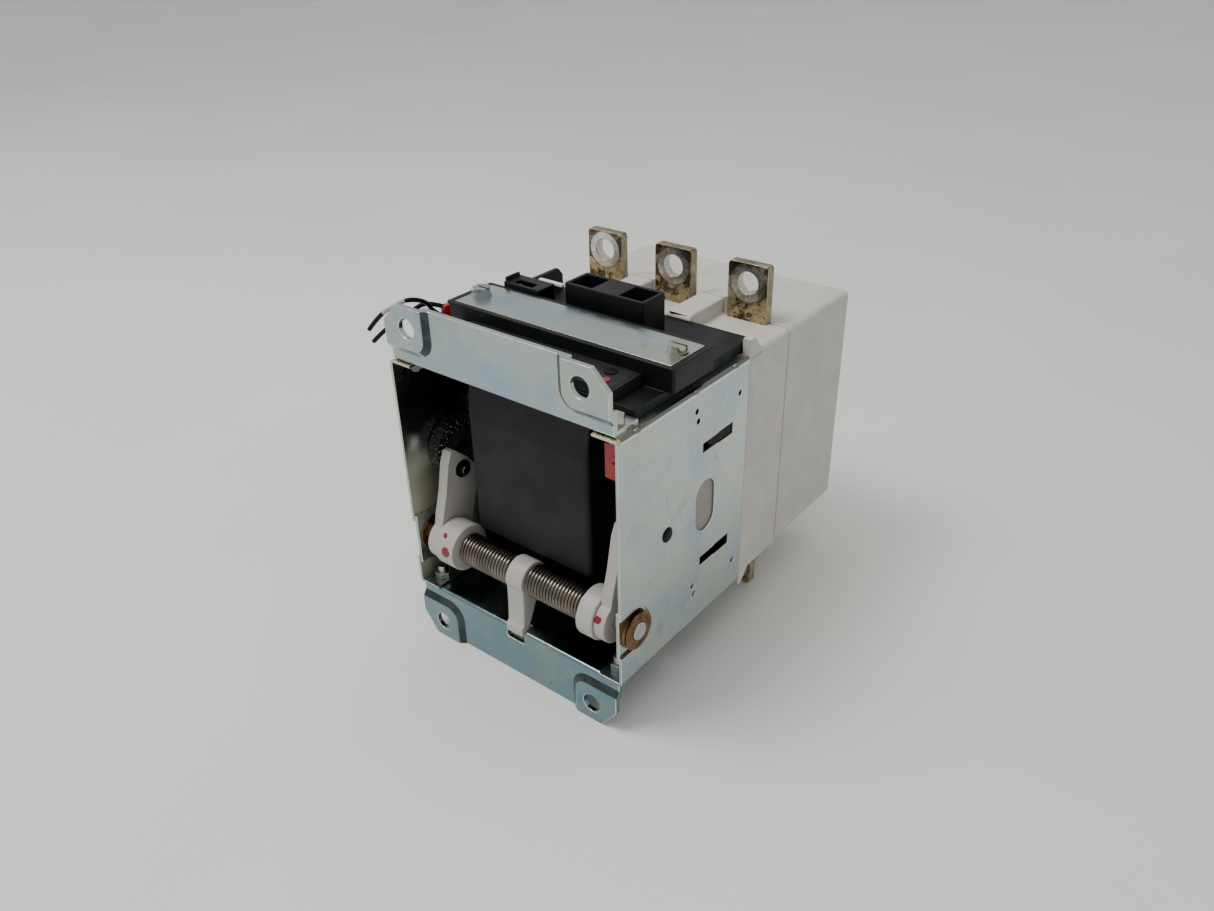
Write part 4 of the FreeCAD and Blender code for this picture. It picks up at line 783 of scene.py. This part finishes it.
def window_panels():
    """The grey-brown moulding seen in the side plates' windows, set just behind them and darkened as painted
    shade for the deep recess.
    """
    bm = bmesh.new()
    for side in (-1, 1):
        angles = (math.radians(5 + 10 * k) for k in range(36))
        outline = [(WINDOW_BACK + WINDOW_HALF * math.cos(a),
                    WINDOW_HIGH + math.copysign(WINDOW_STRAIGHT, math.sin(a)) + WINDOW_HALF * math.sin(a))
                   for a in angles]
        near_ring, far_ring = ([bm.verts.new((side * x, y, z)) for y, z in outline]
                               for x in (PANEL_OUT, PANEL_IN))
        bm.faces.new(near_ring)
        bm.faces.new(far_ring)
        for k in range(36):
            bm.faces.new((near_ring[k], near_ring[(k + 1) % 36], far_ring[(k + 1) % 36], far_ring[k]))
    close(bm)
    panel = new_piece("window_panels", bm, "pale_moulding", "frame", smooth=False)
    # Darker than the pale moulding: painted shade of the deep recess behind the window.
    panel.data.materials[0] = plastic("window_moulding_painted_shade", (0.27, 0.245, 0.215), (0.22, 0.195, 0.165), 0.5)


plate_bumps()
disc_dots()
window_panels()

# A black pan and wall behind the coil, dark sheets standing for the shade under and behind it, and the pale
# head of the disc's stud.
STUD_BACK, STUD_HIGH = -0.0772, 0.1105
slab_piece("painted_shade_pan", "black_moulding", [((-73.0, 73.0), (-61.5, -0.2), (34.8, 36.2)),
                                            ((-73.0, 73.0), (-1.4, -0.2), (36.8, 79.0))], 0.2)
bm = bmesh.new()
lathe(bm, [(x * MM, r * MM) for x, r in ((65.6, 0), (65.6, 1.8), (64.8, 1.8), (64.5, 1.4), (64.4, 0))],
      STUD_BACK, STUD_HIGH, -1, 32)
close(bm)
new_piece("stud_cap", bm, "white_nylon", "frame")


PIN_BACK, PIN_HIGH, CAP_FACE, RING_RADIUS, RING_WIRE = -0.0855, 0.1030, 0.0543, 0.0022, 0.00032


def pin_caps():
    """Black clips that hold the levers' pins, domed, each with a bright half ring let into it."""
    bm, ring = bmesh.new(), bmesh.new()
    profile = [(55.6, 0), (55.6, 3.9), (54.9, 3.9), (54.55, 3.5), (54.35, 2.4), (54.3, 0)]
    for side in (-1, 1):
        lathe(bm, [(x * MM, r * MM) for x, r in profile], PIN_BACK, PIN_HIGH, side, 48)
        rings = []
        for step in range(25):
            angle = math.radians(100 + 160 * step / 24)
            outward = Vector((0, math.cos(angle), math.sin(angle)))
            centre = Vector((side * CAP_FACE, PIN_BACK, PIN_HIGH)) + outward * RING_RADIUS
            turns = (math.pi * k / 4 for k in range(8))
            rings.append([ring.verts.new(centre + (outward * math.cos(turn) + Vector((math.sin(turn), 0, 0)))
                                         * RING_WIRE) for turn in turns])
        for first, second in zip(rings, rings[1:]):
            for k in range(8):
                ring.faces.new((first[k], first[(k + 1) % 8], second[(k + 1) % 8], second[k]))
        ring.faces.new(rings[0])
        ring.faces.new(rings[-1])
    close(bm)
    close(ring)
    new_piece("pin_caps", bm, "lead_insulation", "lever_shaft")
    new_piece("pin_rings", ring, "ground_steel", "lever_shaft")


pin_caps()


# ---------------------------------------------------------------- leads

LEAD_RADIUS = 0.00125
LEADS = {
    "lead_wire_a": [
        (-0.067, -0.0765, 0.195), (-0.070, -0.0805, 0.197), (-0.072, -0.0865, 0.199),
        (-0.072, -0.0935, 0.198), (-0.077, -0.0995, 0.193), (-0.087, -0.1025, 0.186),
        (-0.095, -0.1045, 0.178),
    ],
    "lead_wire_b": [
        (-0.067, -0.0765, 0.189), (-0.069, -0.0835, 0.194), (-0.065, -0.0905, 0.203),
        (-0.069, -0.0985, 0.206), (-0.077, -0.1025, 0.202), (-0.088, -0.1045, 0.194),
        (-0.096, -0.1055, 0.185),
    ],
}


def lead(name, route):
    """One lead, a tube round a smooth curve."""
    data = bpy.data.curves.new(name + "_run", "CURVE")
    data.dimensions, data.bevel_depth, data.use_fill_caps = "3D", LEAD_RADIUS, True
    data.bevel_resolution, data.resolution_u = 6, 12
    spline = data.splines.new("NURBS")
    spline.points.add(len(route) - 1)
    for point, place in zip(spline.points, route):
        point.co = (*place, 1)
    spline.order_u, spline.use_endpoint_u = 3, True
    data.materials.append(materials["lead_insulation"])
    piece = bpy.data.objects.new(name + "_run", data)
    bpy.context.scene.collection.objects.link(piece)
    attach(piece, "frame")
    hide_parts(name)
    start = spline.points[0].co
    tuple(start[:3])


for name, route in LEADS.items():
    lead(name, route)


def add_floor():
    bm = bmesh.new()
    bmesh.ops.create_circle(bm, cap_ends=True, segments=96, radius=14)
    mesh = bpy.data.meshes.new("floor")
    bm.to_mesh(mesh)
    bm.free()
    s = Shade("floor", Roughness=0.55, Specular_IOR_Level=0.3)
    tone = s.mixed(s.between(s.noise(3, 4, 0.5), 0.35, 0.65), (0.695, 0.70, 0.675), (0.725, 0.73, 0.71))
    mesh.materials.append(s.finish(Base_Color=tone))
    floor = bpy.data.objects.new("floor", mesh)
    bpy.context.scene.collection.objects.link(floor)


add_floor()
